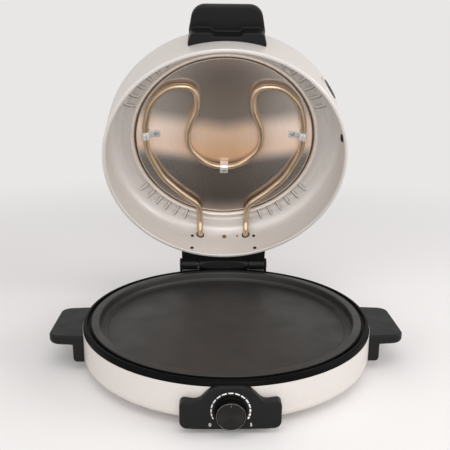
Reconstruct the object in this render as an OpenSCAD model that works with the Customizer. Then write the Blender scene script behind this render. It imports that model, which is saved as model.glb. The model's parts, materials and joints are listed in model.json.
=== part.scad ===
// Electric pizza maker: a round base with a baking pan and a lower element, and a hinged lid with
// an upper element. The origin is the centre of the baking surface, +Z up, the front towards -Y.

/* [Pan] */
// Diameter of the flat baking surface
bake_d = 289; // [270:1:294]
// Height of the pan's flange above the baking surface
pan_depth = 12.2; // [9:0.1:18]
// Sheet thickness of the pan
pan_t = 1.5; // [1:0.1:2.5]
// Outer diameter of the pan's flange
pan_flange_d = 314; // [310:1:315]

/* [Base] */
// Outer diameter of the painted drum
drum_d = 334; // [330:1:344]
// Sheet thickness of the drum
drum_t = 0.8; // [0.6:0.1:2]
// Depth of the drum below the baking surface
drum_depth = 32.5; // [30:0.5:45]
// Radius of the drum's lower edge
drum_edge_r = 10; // [8:1:20]
// Outer diameter of the rim ring at its top
ring_d = 330; // [328:1:334]
// Visible height of the rim ring's band
band_h = 6; // [4:0.5:8]
// Height of the feet
foot_h = 6.5; // [4:0.5:12]
// Diameter of a foot
foot_d = 24; // [16:1:32]
// Diameter of the circle that the feet stand on
foot_circle_d = 250; // [200:2:254]

/* [Lower heater] */
// Diameter of both heating elements' tube
tube_d = 8; // [6:0.5:9]
// Radius of the lower element's ring
lower_loop_r = 108; // [90:1:115]
// Gap between the pan and the lower element
pan_air = 3.5; // [3:0.5:4]
// Depth of the heat shield's floor below the baking surface
shield_depth = 16; // [15:0.5:20]
// Outer radius of the heat shield's wall
shield_r = 136; // [132:1:138]

/* [Control] */
// Width of the control panel
panel_w = 97; // [84:1:110]
// Height of the panel's shoulders above its lower edge
panel_h = 29; // [26:1:34]
// Height of the bump over the knob above the shoulders
bump_h = 15; // [8:1:18]
// Distance from the drum's front to the panel's face
panel_out = 5; // [4:0.5:10]
// Diameter of the knob
knob_d = 31.5; // [24:0.5:34]
// Height of the knob from the panel's face
knob_h = 10.5; // [8:0.5:16]
// Diameter of the thermostat's shaft
shaft_d = 6; // [5:0.5:7]

/* [Handles] */
// Width of a handle where it meets the body
handle_w = 88; // [70:1:96]
// Reach of a handle beyond the body
handle_out = 35; // [28:1:45]
// Thickness of a handle's grip
grip_t = 12; // [9:0.5:15]
// Thickness of a side handle's leg
side_leg_t = 12; // [8:0.5:14]
// Length of a side handle's leg below its grip
side_leg = 19; // [12:0.5:19]
// Thickness of the lid handle's leg at its middle
leg_t = 8; // [7:0.5:10]
// Length of the lid handle's leg below its grip
lid_leg = 16; // [12:0.5:24]

/* [Lid] */
// Outer diameter of the lid
lid_d = 312; // [306:1:314]
// Sheet thickness of the lid
lid_t = 0.8; // [0.6:0.1:2]
// Height of the lid from its lip to its shoulder
lid_h = 74; // [70:1:90]
// Radius of the lid's shoulder
lid_edge_r = 18; // [10:1:20]
// Rise of the lid's crown above its shoulder
crown_h = 4; // [2:0.5:10]
// Width of the lip
lip_w = 4.5; // [3:0.5:6]
// Opening angle of the lid
lid_angle = 66; // [0:1:86]
// Depth of the reflector inside the lid
reflector_z = 61; // [56:1:62]
// Radius of the reflector
reflector_r = 126; // [118:1:128]
// Distance from the reflector to the upper element's axis
upper_drop = 7; // [5.5:0.5:9]
// Radius of the ledge round the recess that holds the reflector
ledge_ring_r = 139; // [134:0.5:141]
// Height of that ledge above the lip
ledge_ring_z = 57; // [54:0.5:58]
// Number of louvres in each of the four groups
louvres = 6; // [2:1:7]
// Width of the clips that hold the element
clip_w = 11; // [6:0.5:12]

/* [Hinge] */
// Distance of the hinge axis behind the rim ring
hinge_back = 7; // [6.5:0.5:12]
// Height of the hinge axis above the rim ring
hinge_up = 5; // [4.5:0.5:10]
// Diameter of the hinge pin
pin_d = 6; // [4:0.5:7]
// Width of the hinge's middle knuckle
knuckle_w = 70; // [50:1:80]
// Width across the lid's two knuckles
hinge_w = 118; // [104:1:124]
// Distance from the drum's back to the rear housing's back
rear_out = 23; // [21:1:34]

/* [Hidden] */
$fn = 64;

gap = 0.3;                  // between pieces of different bodies
play = 0.05;                // radial clearance of a turning fit
press = 0.02;               // radial clearance of a fixed fit
bend_slack = 0.5;           // radial clearance of a clip round a bend of the tube
fillet_n = 10;              // points along a rounded profile corner
sheet = 0.8;                // thin sheet parts: shield, reflector
plastic = 2.5;              // wall of the moulded housings
screw_r = 1.6;              // shank of the small screws
head_r = 3.2;               // head of the small screws
head_h = 1.6;

// Base levels and radii
ring_top = pan_depth - 0.2;
drum_top = ring_top - band_h;
drum_r = drum_d / 2;
drum_in = drum_r - drum_t;
drum_base = -drum_depth;
cover_t = 1.2;
table = drum_base - cover_t - foot_h;
ring_r = ring_d / 2;
ring_flare = drum_r - 0.2;
flange_r = pan_flange_d / 2;
pan_wall_r = bake_d / 2 + 4.8;
ledge_z = pan_depth - pan_t - gap;
ledge_r = pan_wall_r + 0.7;
ring_skirt = -2.2;
flange_in = drum_r - 40;
cover_r = drum_r - 25;
cover_screw_r = flange_in + 7;
lower_z = -pan_t - pan_air - tube_d / 2;
shield_floor = -shield_depth;
leg_x = 18;                 // half distance of the lower element's ends
leg_end = 150;
lower_bush_r = 5;

// Control panel and knob
face_y = -drum_r - panel_out;
panel_air = 5.2;            // between the panel and the table
panel_base = table + panel_air;
knob_z = panel_base + 19.3;
knob_gap = 0.6;
bush_r = shaft_d / 2 + 2;
stat_w = 32;
stat_h = 16;
stat_deep = 18;
stat_y = -drum_in + 4.8;    // front face of the thermostat's body
stat_room = 1;              // between the thermostat and the heat shield
tab_w = 6;
tab_t = 0.8;
tab_len = 8;
panel_screw_x = 34;
panel_screw_z = panel_base + 19;

// Handles
side_top = -10 + grip_t;
side_screw_y = 26;
screw_drop = 6;             // from a grip's underside to its screws
screw_reach = 5.5;          // depth of a screw's hole in a handle's leg
side_screw_z = side_top - grip_t - screw_drop;

// Hinge
hinge_y = ring_r + hinge_back;
hinge_z = ring_top + hinge_up;
barrel_r = sqrt(hinge_back * hinge_back + hinge_up * hinge_up) - 0.4;
washer_t = 1;
washer_r = barrel_r - 1;
cheek_t = 3;
cheek_in = hinge_w / 2 + gap;
arm_in = knuckle_w / 2 + washer_t + 2 * gap;
rear_w = 2 * (cheek_in + cheek_t);
rear_y = drum_r + rear_out;
rear_top = hinge_z - barrel_r - 3.5;
rear_base = drum_base + 3;
rear_screw_x = 48;
rear_screw_z = (rear_top + rear_base) / 2;
wire_w = 56;
wire_h = 16;

// Power inlet
inlet_w = 27;
inlet_h = 19;
inlet_deep = 18;
inlet_z = rear_screw_z;
socket_w = 23;
socket_h = 15;
blade_h = 5;

// Lid levels: the lid is drawn closed, above its lip, and then swung open
lip_z = pan_depth + gap;
lid_r = lid_d / 2;
lid_in = lid_r - lid_t;
lip_h = 3;
upper_z = reflector_z - upper_drop;
skirt_hole_z = upper_z - 10;
skirt_hole_x = 33.5;
skirt_bush_r = 5.8;
housing_screw_x = 45;
housing_screw_drops = [5, 32];
housing_screw_zs = [for (d = housing_screw_drops) skirt_hole_z - d];
liner_low = reflector_z - 15;
grip_low = 38;              // height of the lid handle's grip above the lip
vent_turn = 125;            // the round vent's place round the skirt, from the back
vent_z = 36;
vent_r = 16;
plug_turn = 97;
plug_z = 38;
plug_r = 5;
louvre_w = 5;
louvre_len = ledge_ring_r + 3 - reflector_r - 2;
louvre_pitch = 6.9;
louvre_starts = [23, 115];

// The upper element's right half, from the centre clip to the skirt: the corner points of its
// bends, each with its bend radius
upper_bends = [
    [0, 37, 0], [20, 37, 46], [48, 9, 46], [50, -20, 60], [36, -51, 40], [36, -83, 24],
    [72, -83, 34], [96.5, -60, 50], [104.5, -26, 60], [104.5, 12, 70], [85, 56, 80],
    [60, 82, 90], [34, 104, 24], [skirt_hole_x, 126, 20]];

function arc(cx, cy, r, a0, a1, n = fillet_n) =
    [for (i = [0:n]) let (a = a0 + (a1 - a0) * i / n) [cx + r * cos(a), cy + r * sin(a)]];

// A rounded corner b of the path a-b-c
function bend(a, b, c, r, reach_a, reach_c) =
    let (u = (a - b) / norm(a - b), v = (c - b) / norm(c - b),
         half = acos(max(-1, min(1, u * v))) / 2,
         back = min(r / tan(half), reach_a * norm(a - b), reach_c * norm(c - b)),
         r1 = back * tan(half),
         mid = (u + v) / norm(u + v),
         o = b + mid * r1 / sin(half),
         s = b + u * back - o, e = b + v * back - o,
         a0 = atan2(s[1], s[0]), turn = atan2(e[1], e[0]) - a0,
         sweep = turn > 180 ? turn - 360 : turn < -180 ? turn + 360 : turn,
         n = max(3, ceil(abs(sweep) / 12)))
    [for (i = [0:n]) o + r1 * [cos(a0 + sweep * i / n), sin(a0 + sweep * i / n)]];

function xy(p) = [p[0], p[1]];

function bent_path(b) = concat(
    [xy(b[0])],
    [for (i = [1:len(b) - 2]) each bend(xy(b[i - 1]), xy(b[i]), xy(b[i + 1]), b[i][2],
        i == 1 ? 0.95 : 0.49, i == len(b) - 2 ? 0.95 : 0.49)],
    [xy(b[len(b) - 1])]);

function mirrored(p) = [for (i = [len(p) - 1:-1:0]) [-p[i][0], p[i][1], p[i][2]]];

// A round tube along a nearly level path
module tube(path, r, sides = 10) {
    n = len(path);
    dir = [for (i = [0:n - 1]) let (d = path[min(i + 1, n - 1)] - path[max(i - 1, 0)]) d / norm(d)];
    rings = [for (i = [0:n - 1])
        let (side = cross(dir[i], [0, 0, 1]) / norm(cross(dir[i], [0, 0, 1])),
             up = cross(side, dir[i]))
        for (k = [0:sides - 1]) path[i] + r * (cos(360 * k / sides) * side
                                               + sin(360 * k / sides) * up)];
    polyhedron(rings, concat(
        [[for (k = [sides - 1:-1:0]) k]],
        [[for (k = [0:sides - 1]) (n - 1) * sides + k]],
        [for (i = [0:n - 2]) for (k = [0:sides - 1])
            let (a = i * sides + k, b = i * sides + (k + 1) % sides)
            [a, b, b + sides, a + sides]]));
}

// A cylinder that points forwards, towards -Y, from its place
module rod_y(r, h) { rotate([90, 0, 0]) cylinder(r = r, h = h); }

// A cylinder along X, centred on its place
module rod_x(r, w) { rotate([0, 90, 0]) cylinder(r = r, h = w, center = true); }

module ring(r_out, r_in, h) {
    difference() {
        cylinder(r = r_out, h = h, $fn = 160);
        translate([0, 0, -1]) cylinder(r = r_in, h = h + 2, $fn = 160);
    }
}

// Places its children in the lid: z = 0 is the lip and the lid is swung open
module in_lid() {
    translate([0, hinge_y, hinge_z]) rotate([-lid_angle, 0, 0])
        translate([0, -hinge_y, lip_z - hinge_z]) children();
}

// ---- Base ----

module foot_places() {
    for (a = [45:90:315]) rotate([0, 0, a]) translate([foot_circle_d / 2, 0, 0]) children();
}

module base_shell() {
    e = drum_edge_r;
    color("gainsboro") difference() {
        rotate_extrude($fn = 160) polygon(concat(
            [[flange_in, drum_base]],
            arc(drum_r - e, drum_base + e, e, -90, 0),
            [[drum_r, drum_top], [drum_in, drum_top]],
            arc(drum_r - e, drum_base + e, e - drum_t, 0, -90),
            [[flange_in, drum_base + drum_t]]));
        translate([0, -drum_in + 5, knob_z]) rod_y(bush_r + press, 10);
        for (x = [-panel_screw_x, panel_screw_x])
            translate([x, -drum_in + 10, panel_screw_z]) rod_y(screw_r + press, 20);
        for (s = [-1, 1], y = [-side_screw_y, side_screw_y])
            translate([s * (drum_in - 1), y, side_screw_z]) rod_x(screw_r + press, 20);
        for (x = [-rear_screw_x, rear_screw_x])
            translate([x, drum_r + 5, rear_screw_z]) rod_y(screw_r + press, 30);
        translate([-wire_w / 2, drum_in - 8, rear_screw_z - wire_h / 2]) cube([wire_w, 12, wire_h]);
        for (a = [0:60:300]) rotate([0, 0, a + 30])
            translate([cover_screw_r, 0, drum_base - 1]) cylinder(r = screw_r + press, h = 4);
        foot_places() translate([0, 0, drum_base - 1]) cylinder(r = screw_r + press, h = 4);
    }
}

module bottom_cover() {
    color("dimgray") difference() {
        translate([0, 0, drum_base - cover_t]) cylinder(r = cover_r, h = cover_t, $fn = 160);
        for (a = [0:60:300]) rotate([0, 0, a + 30])
            translate([cover_screw_r, 0, drum_base - 3]) cylinder(r = screw_r + press, h = 4);
        foot_places() translate([0, 0, drum_base - 3]) cylinder(r = screw_r + press, h = 4);
        for (s = [-1, 1], i = [-3:3])
            translate([s * 45 - 16, i * 9 - 1.5, drum_base - 3]) cube([32, 3, 4]);
    }
}

module bottom_screws() {
    color("silver") for (a = [0:60:300]) rotate([0, 0, a + 30]) {
        translate([cover_screw_r, 0, drum_base - cover_t]) cylinder(r = screw_r, h = 7);
        translate([cover_screw_r, 0, drum_base - cover_t - head_h]) cylinder(r = head_r, h = head_h);
    }
}

module feet() {
    color("black") foot_places() translate([0, 0, table]) difference() {
        union() {
            cylinder(d = foot_d - 3, h = 1.5);
            translate([0, 0, 1.5]) cylinder(d = foot_d, h = drum_base - cover_t - table - 1.5);
        }
        translate([0, 0, -1]) cylinder(r = head_r + 1, h = 4);
        cylinder(r = screw_r + press, h = 20);
    }
}

module foot_screws() {
    color("silver") foot_places() translate([0, 0, table + 3 - head_h]) {
        cylinder(r = head_r, h = head_h);
        cylinder(r = screw_r, h = foot_h + 2);
    }
}

module rim_ring() {
    groove_out = ring_r - 3.4;
    groove_in = flange_r + 1.6;
    groove_z = ring_top - 3;
    color("black") rotate_extrude($fn = 160) polygon(concat(
        [[ledge_r, ring_skirt], [ledge_r + 2, ring_skirt], [ledge_r + 2, drum_top - 3],
         [drum_in - 3, drum_top - 3], [drum_in - 3, drum_top - 5], [drum_in - 0.4, drum_top - 5],
         [drum_in - 0.4, drum_top], [ring_flare, drum_top]],
        arc(ring_r - 1.2, ring_top - 1.2, 1.2, 10, 90),
        [[groove_out, ring_top], [groove_out - 0.3, groove_z], [groove_in + 0.3, groove_z],
         [groove_in, ring_top - 0.4], [flange_r + 0.6, ring_top - 0.4],
         [flange_r + 0.6, ledge_z], [ledge_r, ledge_z]]));
}

module baking_pan() {
    r0 = bake_d / 2;
    color([0.13, 0.13, 0.13]) rotate_extrude($fn = 160) polygon([
        [0, -pan_t], [r0 + 0.6, -pan_t], [pan_wall_r, 3], [pan_wall_r, pan_depth - pan_t],
        [flange_r, pan_depth - pan_t], [flange_r, pan_depth], [pan_wall_r - pan_t, pan_depth],
        [pan_wall_r - pan_t, 3.2], [r0, 0], [0, 0]]);
}

module heat_shield() {
    wall_top = ring_skirt - sheet;
    color("silver") difference() {
        rotate_extrude($fn = 120) polygon([
            [0, shield_floor - sheet], [shield_r - 3, shield_floor - sheet],
            [shield_r, shield_floor + 3], [shield_r, wall_top], [ledge_r + 2, wall_top],
            [ledge_r + 2, ring_skirt], [shield_r - sheet, ring_skirt],
            [shield_r - sheet, shield_floor + 3.3], [shield_r - 3.3, shield_floor],
            [0, shield_floor]]);
        for (s = [-1, 1]) translate([s * leg_x, shield_r + 6, lower_z]) rod_y(lower_bush_r, 14);
        thermostat_block(stat_room);
    }
}

lower_start = asin(leg_x / lower_loop_r) + 8;
lower_loop = [for (a = [90 - lower_start:-(180 - lower_start) / 34:-90])
    [lower_loop_r * cos(a), lower_loop_r * sin(a), lower_z]];
lower_half = concat(
    [for (p = bent_path([[leg_x, leg_end, 0], [leg_x, lower_loop_r + 4, 12],
                         [lower_loop[0][0], lower_loop[0][1], 6], [0, 0, 0]]))
        if (p[1] > lower_loop[0][1] + 2)
        [p[0], p[1], lower_z]], lower_loop);

module lower_element() {
    half = [for (i = [0:len(lower_half) - 2]) lower_half[i]];
    color("dimgray") tube(concat(half, [[0, -lower_loop_r, lower_z]], mirrored(half)), tube_d / 2, 8);
}

module lower_clips() {
    low = shield_floor;
    r = tube_d / 2 + press;
    color("silver") for (a = [-30, 90, 210]) rotate([0, 0, a + 180])
        translate([lower_loop_r, 0, 0]) difference() {
            translate([-tube_d, -4, low]) cube([2 * tube_d, 8, lower_z - low + 2]);
            translate([0, 0, lower_z]) rotate([90, 0, 0]) cylinder(r = r + 0.2, h = 20, center = true);
            translate([-r - 0.2, -5, lower_z]) cube([2 * r + 0.4, 10, 10]);
        }
}

module lower_bushes() {
    color("ivory") for (s = [-1, 1]) translate([s * leg_x, shield_r + 4, lower_z]) difference() {
        union() {
            rod_y(lower_bush_r - press, 8);
            rod_y(lower_bush_r + 0.8, 3);
        }
        translate([0, 1, 0]) rod_y(tube_d / 2 + play, 12);
    }
}

module lower_terminals() {
    color("goldenrod") for (s = [-1, 1]) translate([s * leg_x, leg_end, lower_z]) {
        rotate([-90, 0, 0]) cylinder(r = 1.5, h = 8);
        translate([-3, 4, -0.4]) cube([6, 7, 0.8]);
    }
}

module thermal_cutout() {
    color("silver") translate([50, 40, shield_floor - sheet - 6]) {
        cylinder(d = 16, h = 6);
        translate([-12, -3, 4.8]) cube([24, 6, 1.2]);
        for (x = [-4, 4]) translate([x - 0.4, -3, -4]) cube([0.8, 6, 5]);
    }
}

block_r = 144.5;
block_turn = -34;
block_z = drum_base + drum_t + 0.1;

module terminal_block() {
    color("white") rotate([0, 0, block_turn]) translate([-21, block_r - 6, block_z]) difference() {
        cube([42, 12, 13]);
        for (x = [7:14:35]) {
            translate([x, -1, 8]) rotate([-90, 0, 0]) cylinder(r = 2, h = 14);
            translate([x, 6, 8]) cylinder(r = 2.2, h = 6);
        }
    }
}

module terminal_screws() {
    color("goldenrod") rotate([0, 0, block_turn]) translate([-21, block_r - 6, block_z])
        for (x = [7:14:35]) translate([x, 6, 10]) cylinder(r = 2.2 - press, h = 2.2);
}

// ---- Control ----

// The thermostat's body and tabs, grown by c on every side
module thermostat_block(c = 0) {
    translate([-stat_w / 2 - c, stat_y - c, knob_z - stat_h / 2 - c])
        cube([stat_w + 2 * c, stat_deep + 2 * c, stat_h + 2 * c]);
    for (x = [-9, 9]) translate([x - tab_w / 2 - c, stat_y + stat_deep - c, knob_z - 4 - c])
        cube([tab_w + 2 * c, tab_len + 2 * c, tab_t + 2 * c]);
}

module thermostat() {
    color("lightgray") difference() {
        union() {
            thermostat_block();
            translate([0, stat_y, knob_z]) rod_y(bush_r + 2, stat_y + drum_in - 2.4);
            translate([0, stat_y, knob_z]) rod_y(bush_r, -face_y + stat_y - 0.8);
        }
        translate([0, stat_y + stat_deep - 4, knob_z]) rod_y(shaft_d / 2 + play, 60);
    }
}

module thermostat_nut() {
    color("silver") translate([0, -drum_r - 0.3, knob_z]) difference() {
        rotate([90, 0, 0]) cylinder(r = bush_r + 3, h = 1.8, $fn = 6);
        translate([0, 1, 0]) rod_y(bush_r + press, 5);
    }
}

module thermostat_shaft() {
    start = stat_y + stat_deep - 4.5;
    flat = shaft_d / 2 - 1;
    color("silver") difference() {
        translate([0, start, knob_z]) rod_y(shaft_d / 2, start - face_y + knob_h - 3.3);
        translate([-5, face_y - knob_h - 5, knob_z + flat]) cube([10, knob_h + 4, 5]);
    }
}

// The panel's outline: a low box with a bump over the knob, seen from the front
module panel_outline(inset = 0) {
    w = panel_w / 2 - inset;
    low = panel_base + inset;
    shoulder = panel_base + panel_h - inset;
    top = shoulder + bump_h;
    rise = bump_h / 2;
    polygon(concat(
        arc(w - 7.5, low + 7.5, 7.5, -90, 0),
        arc(w - 5, shoulder - 5, 5, 0, 90),
        arc(32 - inset, shoulder + rise, rise, -90, -135, 6),
        arc(17.5 - inset, top - rise, rise, 45, 90, 6),
        arc(-17.5 + inset, top - rise, rise, 90, 135, 6),
        arc(-32 + inset, shoulder + rise, rise, -45, -90, 6),
        arc(-w + 5, shoulder - 5, 5, 90, 180),
        arc(-w + 7.5, low + 7.5, 7.5, 180, 270)));
}

module control_panel() {
    front = -face_y;
    color([0.12, 0.12, 0.12]) difference() {
        rotate([90, 0, 0]) translate([0, 0, front - 32]) linear_extrude(32) panel_outline();
        difference() {
            rotate([90, 0, 0]) translate([0, 0, front - 40]) linear_extrude(40 - plastic)
                panel_outline(plastic);
            for (x = [-panel_screw_x, panel_screw_x])
                translate([x, face_y + 32, panel_screw_z]) rod_y(screw_r + 2.4, 32);
        }
        translate([0, 0, drum_base - 5]) cylinder(r = drum_r + press, h = drum_depth + drum_top + 5, $fn = 160);
        translate([0, 0, drum_top - 1])
            cylinder(r = drum_r + 0.2, h = 30, $fn = 160);
        translate([0, face_y + 10, knob_z]) rod_y(bush_r + press, 20);
        for (x = [-panel_screw_x, panel_screw_x])
            translate([x, face_y + 40, panel_screw_z]) rod_y(screw_r + press, 38);
    }
}

module panel_screws() {
    inner = -sqrt(drum_in * drum_in - panel_screw_x * panel_screw_x) + 1.4;
    color("silver") for (x = [-panel_screw_x, panel_screw_x]) {
        translate([x, inner + head_h, panel_screw_z]) rod_y(head_r, head_h);
        translate([x, inner, panel_screw_z]) rod_y(screw_r, inner - face_y - 3);
    }
}

module knob() {
    back = face_y - knob_gap;
    front = knob_h - knob_gap;
    color([0.1, 0.1, 0.1]) difference() {
        translate([0, back, knob_z]) rotate([90, 0, 0]) difference() {
            union() {
                cylinder(d = knob_d, h = front - 1);
                translate([0, 0, front - 1]) cylinder(d1 = knob_d, d2 = knob_d - 1.6, h = 1, $fn = 64);
            }
            for (a = [0:10:350]) rotate([0, 0, a])
                translate([knob_d / 2 + 0.55, 0, -1]) cylinder(r = 1, h = front - 1, $fn = 16);
            translate([0, 0, front - 0.8]) cylinder(d = knob_d - 4, h = 2);
            translate([0, 0, -1]) difference() {
                cylinder(d = knob_d - 5, h = front - 2.5);
                cylinder(r = shaft_d / 2 + 2.2, h = front);
            }
        }
        translate([0, back + 1, knob_z]) rod_y(shaft_d / 2 + press, front - 2);
    }
}

module knob_insert() {
    color([0.18, 0.18, 0.18])
        translate([0, face_y - knob_h + 0.8, knob_z]) rod_y(knob_d / 2 - 2 - press, 0.6);
}

// ---- Handles: the body's radius r is on the axis of Z, and the handle points along +X ----

module grip(r, low, end_w) {
    w = handle_w / 2;
    out = r + handle_out;
    c = 12;
    translate([0, 0, low]) linear_extrude(grip_t) polygon(concat(
        [[r - 20, -w], [r + 6, -w]], arc(out - c, c - end_w / 2, c, -80, 0),
        arc(out - c, end_w / 2 - c, c, 0, 80), [[r + 6, w], [r - 20, w]]));
}

// Cuts a handle to the wall that it sits on, and drills it
module fitted_to(r, low, leg) {
    difference() {
        children();
        translate([0, 0, low - leg - 5]) cylinder(r = r + press, h = leg + grip_t + 20, $fn = 160);
        for (y = [-side_screw_y, side_screw_y])
            translate([r, y, low - screw_drop]) rod_x(screw_r + press, 2 * screw_reach);
    }
}

// The grip's underside is at low, and its leg is a curved plate below it
module side_handle(r, low) {
    fitted_to(r, low, side_leg) {
        grip(r, low, handle_w - 6);
        intersection() {
            translate([0, 0, low - side_leg]) cylinder(r = r + side_leg_t, h = side_leg + 1, $fn = 160);
            translate([r - 24, -handle_w / 2, low - side_leg - 1])
                cube([60, handle_w, side_leg + 3]);
        }
    }
}

module side_handle_right() {
    color([0.12, 0.12, 0.12]) side_handle(drum_r, side_top - grip_t);
}

module side_handle_left() {
    color([0.12, 0.12, 0.12]) mirror([1, 0, 0]) side_handle(drum_r, side_top - grip_t);
}

module handle_screws(r_in, z) {
    inner = sqrt(r_in * r_in - side_screw_y * side_screw_y) - 0.8;
    for (y = [-side_screw_y, side_screw_y]) {
        translate([inner - head_h / 2, y, z]) rod_x(head_r, head_h);
        translate([inner + 3, y, z]) rod_x(screw_r, 6);
    }
}

module side_handle_screws() {
    color("silver") for (s = [0, 1]) mirror([s, 0, 0]) handle_screws(drum_in, side_screw_z);
}

// ---- Rear housing, inlet and hinge ----

module rear_housing() {
    low = rear_base;
    deep = rear_y - drum_r + 30;
    color([0.12, 0.12, 0.12]) difference() {
        union() {
            difference() {
                translate([-rear_w / 2, rear_y - deep, low]) cube([rear_w, deep, rear_top - low]);
                difference() {
                    translate([-rear_w / 2 + plastic, rear_y - deep - 1, low + plastic])
                        cube([rear_w - 2 * plastic, deep + 1 - plastic, rear_top - low - 2 * plastic]);
                    for (x = [-rear_screw_x, rear_screw_x])
                        translate([x, rear_y, rear_screw_z]) rod_y(screw_r + 2.6, deep);
                }
            }
            translate([0, hinge_y, hinge_z]) rod_x(barrel_r, knuckle_w);
            translate([-knuckle_w / 2, drum_r + 0.4, rear_top - 1])
                cube([knuckle_w, hinge_y - drum_r + 2, hinge_z - barrel_r / 2 - rear_top + 1]);
            for (s = [-1, 1]) {
                translate([s * (cheek_in + cheek_t / 2), hinge_y, hinge_z]) rod_x(barrel_r, cheek_t);
                translate([s * (cheek_in + cheek_t / 2) - cheek_t / 2, hinge_y - 5, rear_top - 1])
                    cube([cheek_t, barrel_r + 5, hinge_z - rear_top + 1]);
            }
        }
        translate([0, 0, drum_base - 5]) cylinder(r = drum_r + press, h = 120, $fn = 160);
        translate([0, hinge_y, hinge_z]) rod_x(pin_d / 2 + press, rear_w + 10);
        translate([-inlet_w / 2 - press, rear_y - 8, inlet_z - inlet_h / 2 - press])
            cube([inlet_w + 2 * press, 20, inlet_h + 2 * press]);
        for (x = [-rear_screw_x, rear_screw_x])
            translate([x, rear_y - 5, rear_screw_z]) rod_y(screw_r + press, deep);
    }
}

module rear_housing_screws() {
    inner = sqrt(drum_in * drum_in - rear_screw_x * rear_screw_x) - 1.4;
    color("silver") for (x = [-rear_screw_x, rear_screw_x]) {
        translate([x, inner, rear_screw_z]) rod_y(head_r, head_h);
        translate([x, inner + 12, rear_screw_z]) rod_y(screw_r, 12);
    }
}

module power_inlet() {
    color([0.08, 0.08, 0.08]) translate([0, rear_y, inlet_z]) difference() {
        union() {
            translate([-inlet_w / 2, -inlet_deep, -inlet_h / 2]) cube([inlet_w, inlet_deep, inlet_h]);
            translate([-inlet_w / 2 - 4, 0, -inlet_h / 2 - 1.5])
                cube([inlet_w + 8, 2, inlet_h + 3]);
        }
        translate([-socket_w / 2, 2.1 - inlet_deep, -socket_h / 2])
            cube([socket_w, inlet_deep, socket_h]);
        for (i = [-1:1]) translate([i * 7, -inlet_deep - 1, i == 0 ? 2 : -2])
            translate([-1, 0, -2]) cube([2, 6, 4]);
    }
}

module inlet_blades() {
    color("goldenrod") for (i = [-1:1]) translate([i * 7, rear_y - inlet_deep - 5, i == 0 ? 2 : -2])
        translate([-1 + press, 0, inlet_z - 2 + press])
            cube([2 - 2 * press, inlet_deep, 4 - 2 * press]);
}

module hinge_pin() {
    w = rear_w - 1;
    color("silver") translate([0, hinge_y, hinge_z]) rod_x(pin_d / 2, w);
}

module hinge_washers() {
    color("goldenrod") for (s = [-1, 1])
        translate([s * (knuckle_w / 2 + gap + washer_t / 2), hinge_y, hinge_z]) difference() {
            rod_x(washer_r, washer_t);
            rod_x(pin_d / 2 + play, washer_t + 2);
        }
}

// ---- Lid ----

module lid_profile(r, h, e) {
    // r is the outer radius, h the shoulder's height, e the shoulder's radius
    crown_r = r - e;
    rise = (crown_r * crown_r + crown_h * crown_h) / (2 * crown_h);
    a = asin(crown_r / rise);
    polygon(concat([[0, -1], [r, -1]], arc(r - e, h - e, e, 0, 90 - a),
        arc(0, h + crown_h - rise, rise, 90 - a, 90)));
}

module skirt_holes() {
    for (s = [-1, 1]) translate([s * skirt_hole_x, lid_r + 5, skirt_hole_z]) rod_y(skirt_bush_r, 16);
}

module vent_hole() {
    rotate([0, 0, -vent_turn]) translate([0, lid_r + 5, vent_z]) rod_y(vent_r - 2, 12);
}

module lid_shell() {
    color("gainsboro") in_lid() difference() {
        union() {
            difference() {
                rotate_extrude($fn = 160) intersection() {
                    lid_profile(lid_r, lid_h, lid_edge_r);
                    square([lid_r, 2 * lid_h]);
                }
                rotate_extrude($fn = 160) translate([0, -0.01])
                    lid_profile(lid_in, lid_h - lid_t, lid_edge_r - lid_t);
            }
            ring(lid_r, lid_r - lip_w, lip_h);
        }
        skirt_holes();
        for (s = [-1, 1], z = housing_screw_zs)
            translate([s * housing_screw_x, lid_r + 5, z]) rod_y(screw_r + press, 30);
        for (x = [-side_screw_y, side_screw_y])
            translate([x, -lid_r + 12, grip_low - screw_drop]) rod_y(screw_r + press, 20);
        vent_hole();
        rotate([0, 0, -plug_turn]) translate([0, lid_r + 5, plug_z]) rod_y(plug_r, 12);
    }
}

// The inner ring with the louvres, between the skirt and the reflector
module lid_liner() {
    t = 1;
    bow = 9;                // radius of the shoulder
    recess = 6;             // radius of the recess's wall
    r_out = lid_in - 0.2;
    r_in = reflector_r - 3;
    top = reflector_z + sheet;
    z = ledge_ring_z;
    color("lightgray") in_lid() difference() {
        rotate_extrude($fn = 160) polygon(concat(
            [[r_out - t, liner_low], [r_out, liner_low]],
            arc(r_out - bow, z + t - bow, bow, 0, 90),
            arc(ledge_ring_r - recess, z, recess + t, 10, 90),
            [[r_in, top + t], [r_in, top], [reflector_r + 0.2, top]],
            arc(ledge_ring_r - recess, z, recess, 90, 0),
            arc(r_out - bow, z + t - bow, bow - t, 90, 0)));
        skirt_holes();
        vent_hole();
        for (s = [-1, 1], start = louvre_starts, i = [0:louvres - 1])
            rotate([0, 0, s * (start + i * louvre_pitch)])
                translate([-louvre_w / 5, reflector_r + 2, top - 8]) cube([louvre_w / 2.5, louvre_len, 20]);
    }
}

module lid_reflector() {
    r = reflector_r;
    bead = 2.5;
    color("silver") in_lid() difference() {
        rotate_extrude($fn = 160) polygon(concat(
            [[0, reflector_z]], arc(r - bead, reflector_z, bead, 180, 360),
            [[r, reflector_z + sheet], [0, reflector_z + sheet]]));
        for (p = clip_feet) translate([p[0], p[1], reflector_z - 2]) cylinder(r = screw_r + press, h = 6);
    }
}

// Where each clip is screwed to the reflector
clip_feet = [[-91, -12], [91, -12], [0, 46]];

module reflector_studs() {
    stud_r = reflector_r - 18;
    share = stud_r / (lid_r - lid_edge_r);
    under_crown = lid_h - lid_t + crown_h * (1 - share * share) - 0.4;
    color("silver") in_lid() for (a = [0:60:300]) rotate([0, 0, a + 15])
        translate([stud_r, 0, reflector_z + sheet])
            cylinder(r = 4, h = under_crown - reflector_z - sheet);
}

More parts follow.
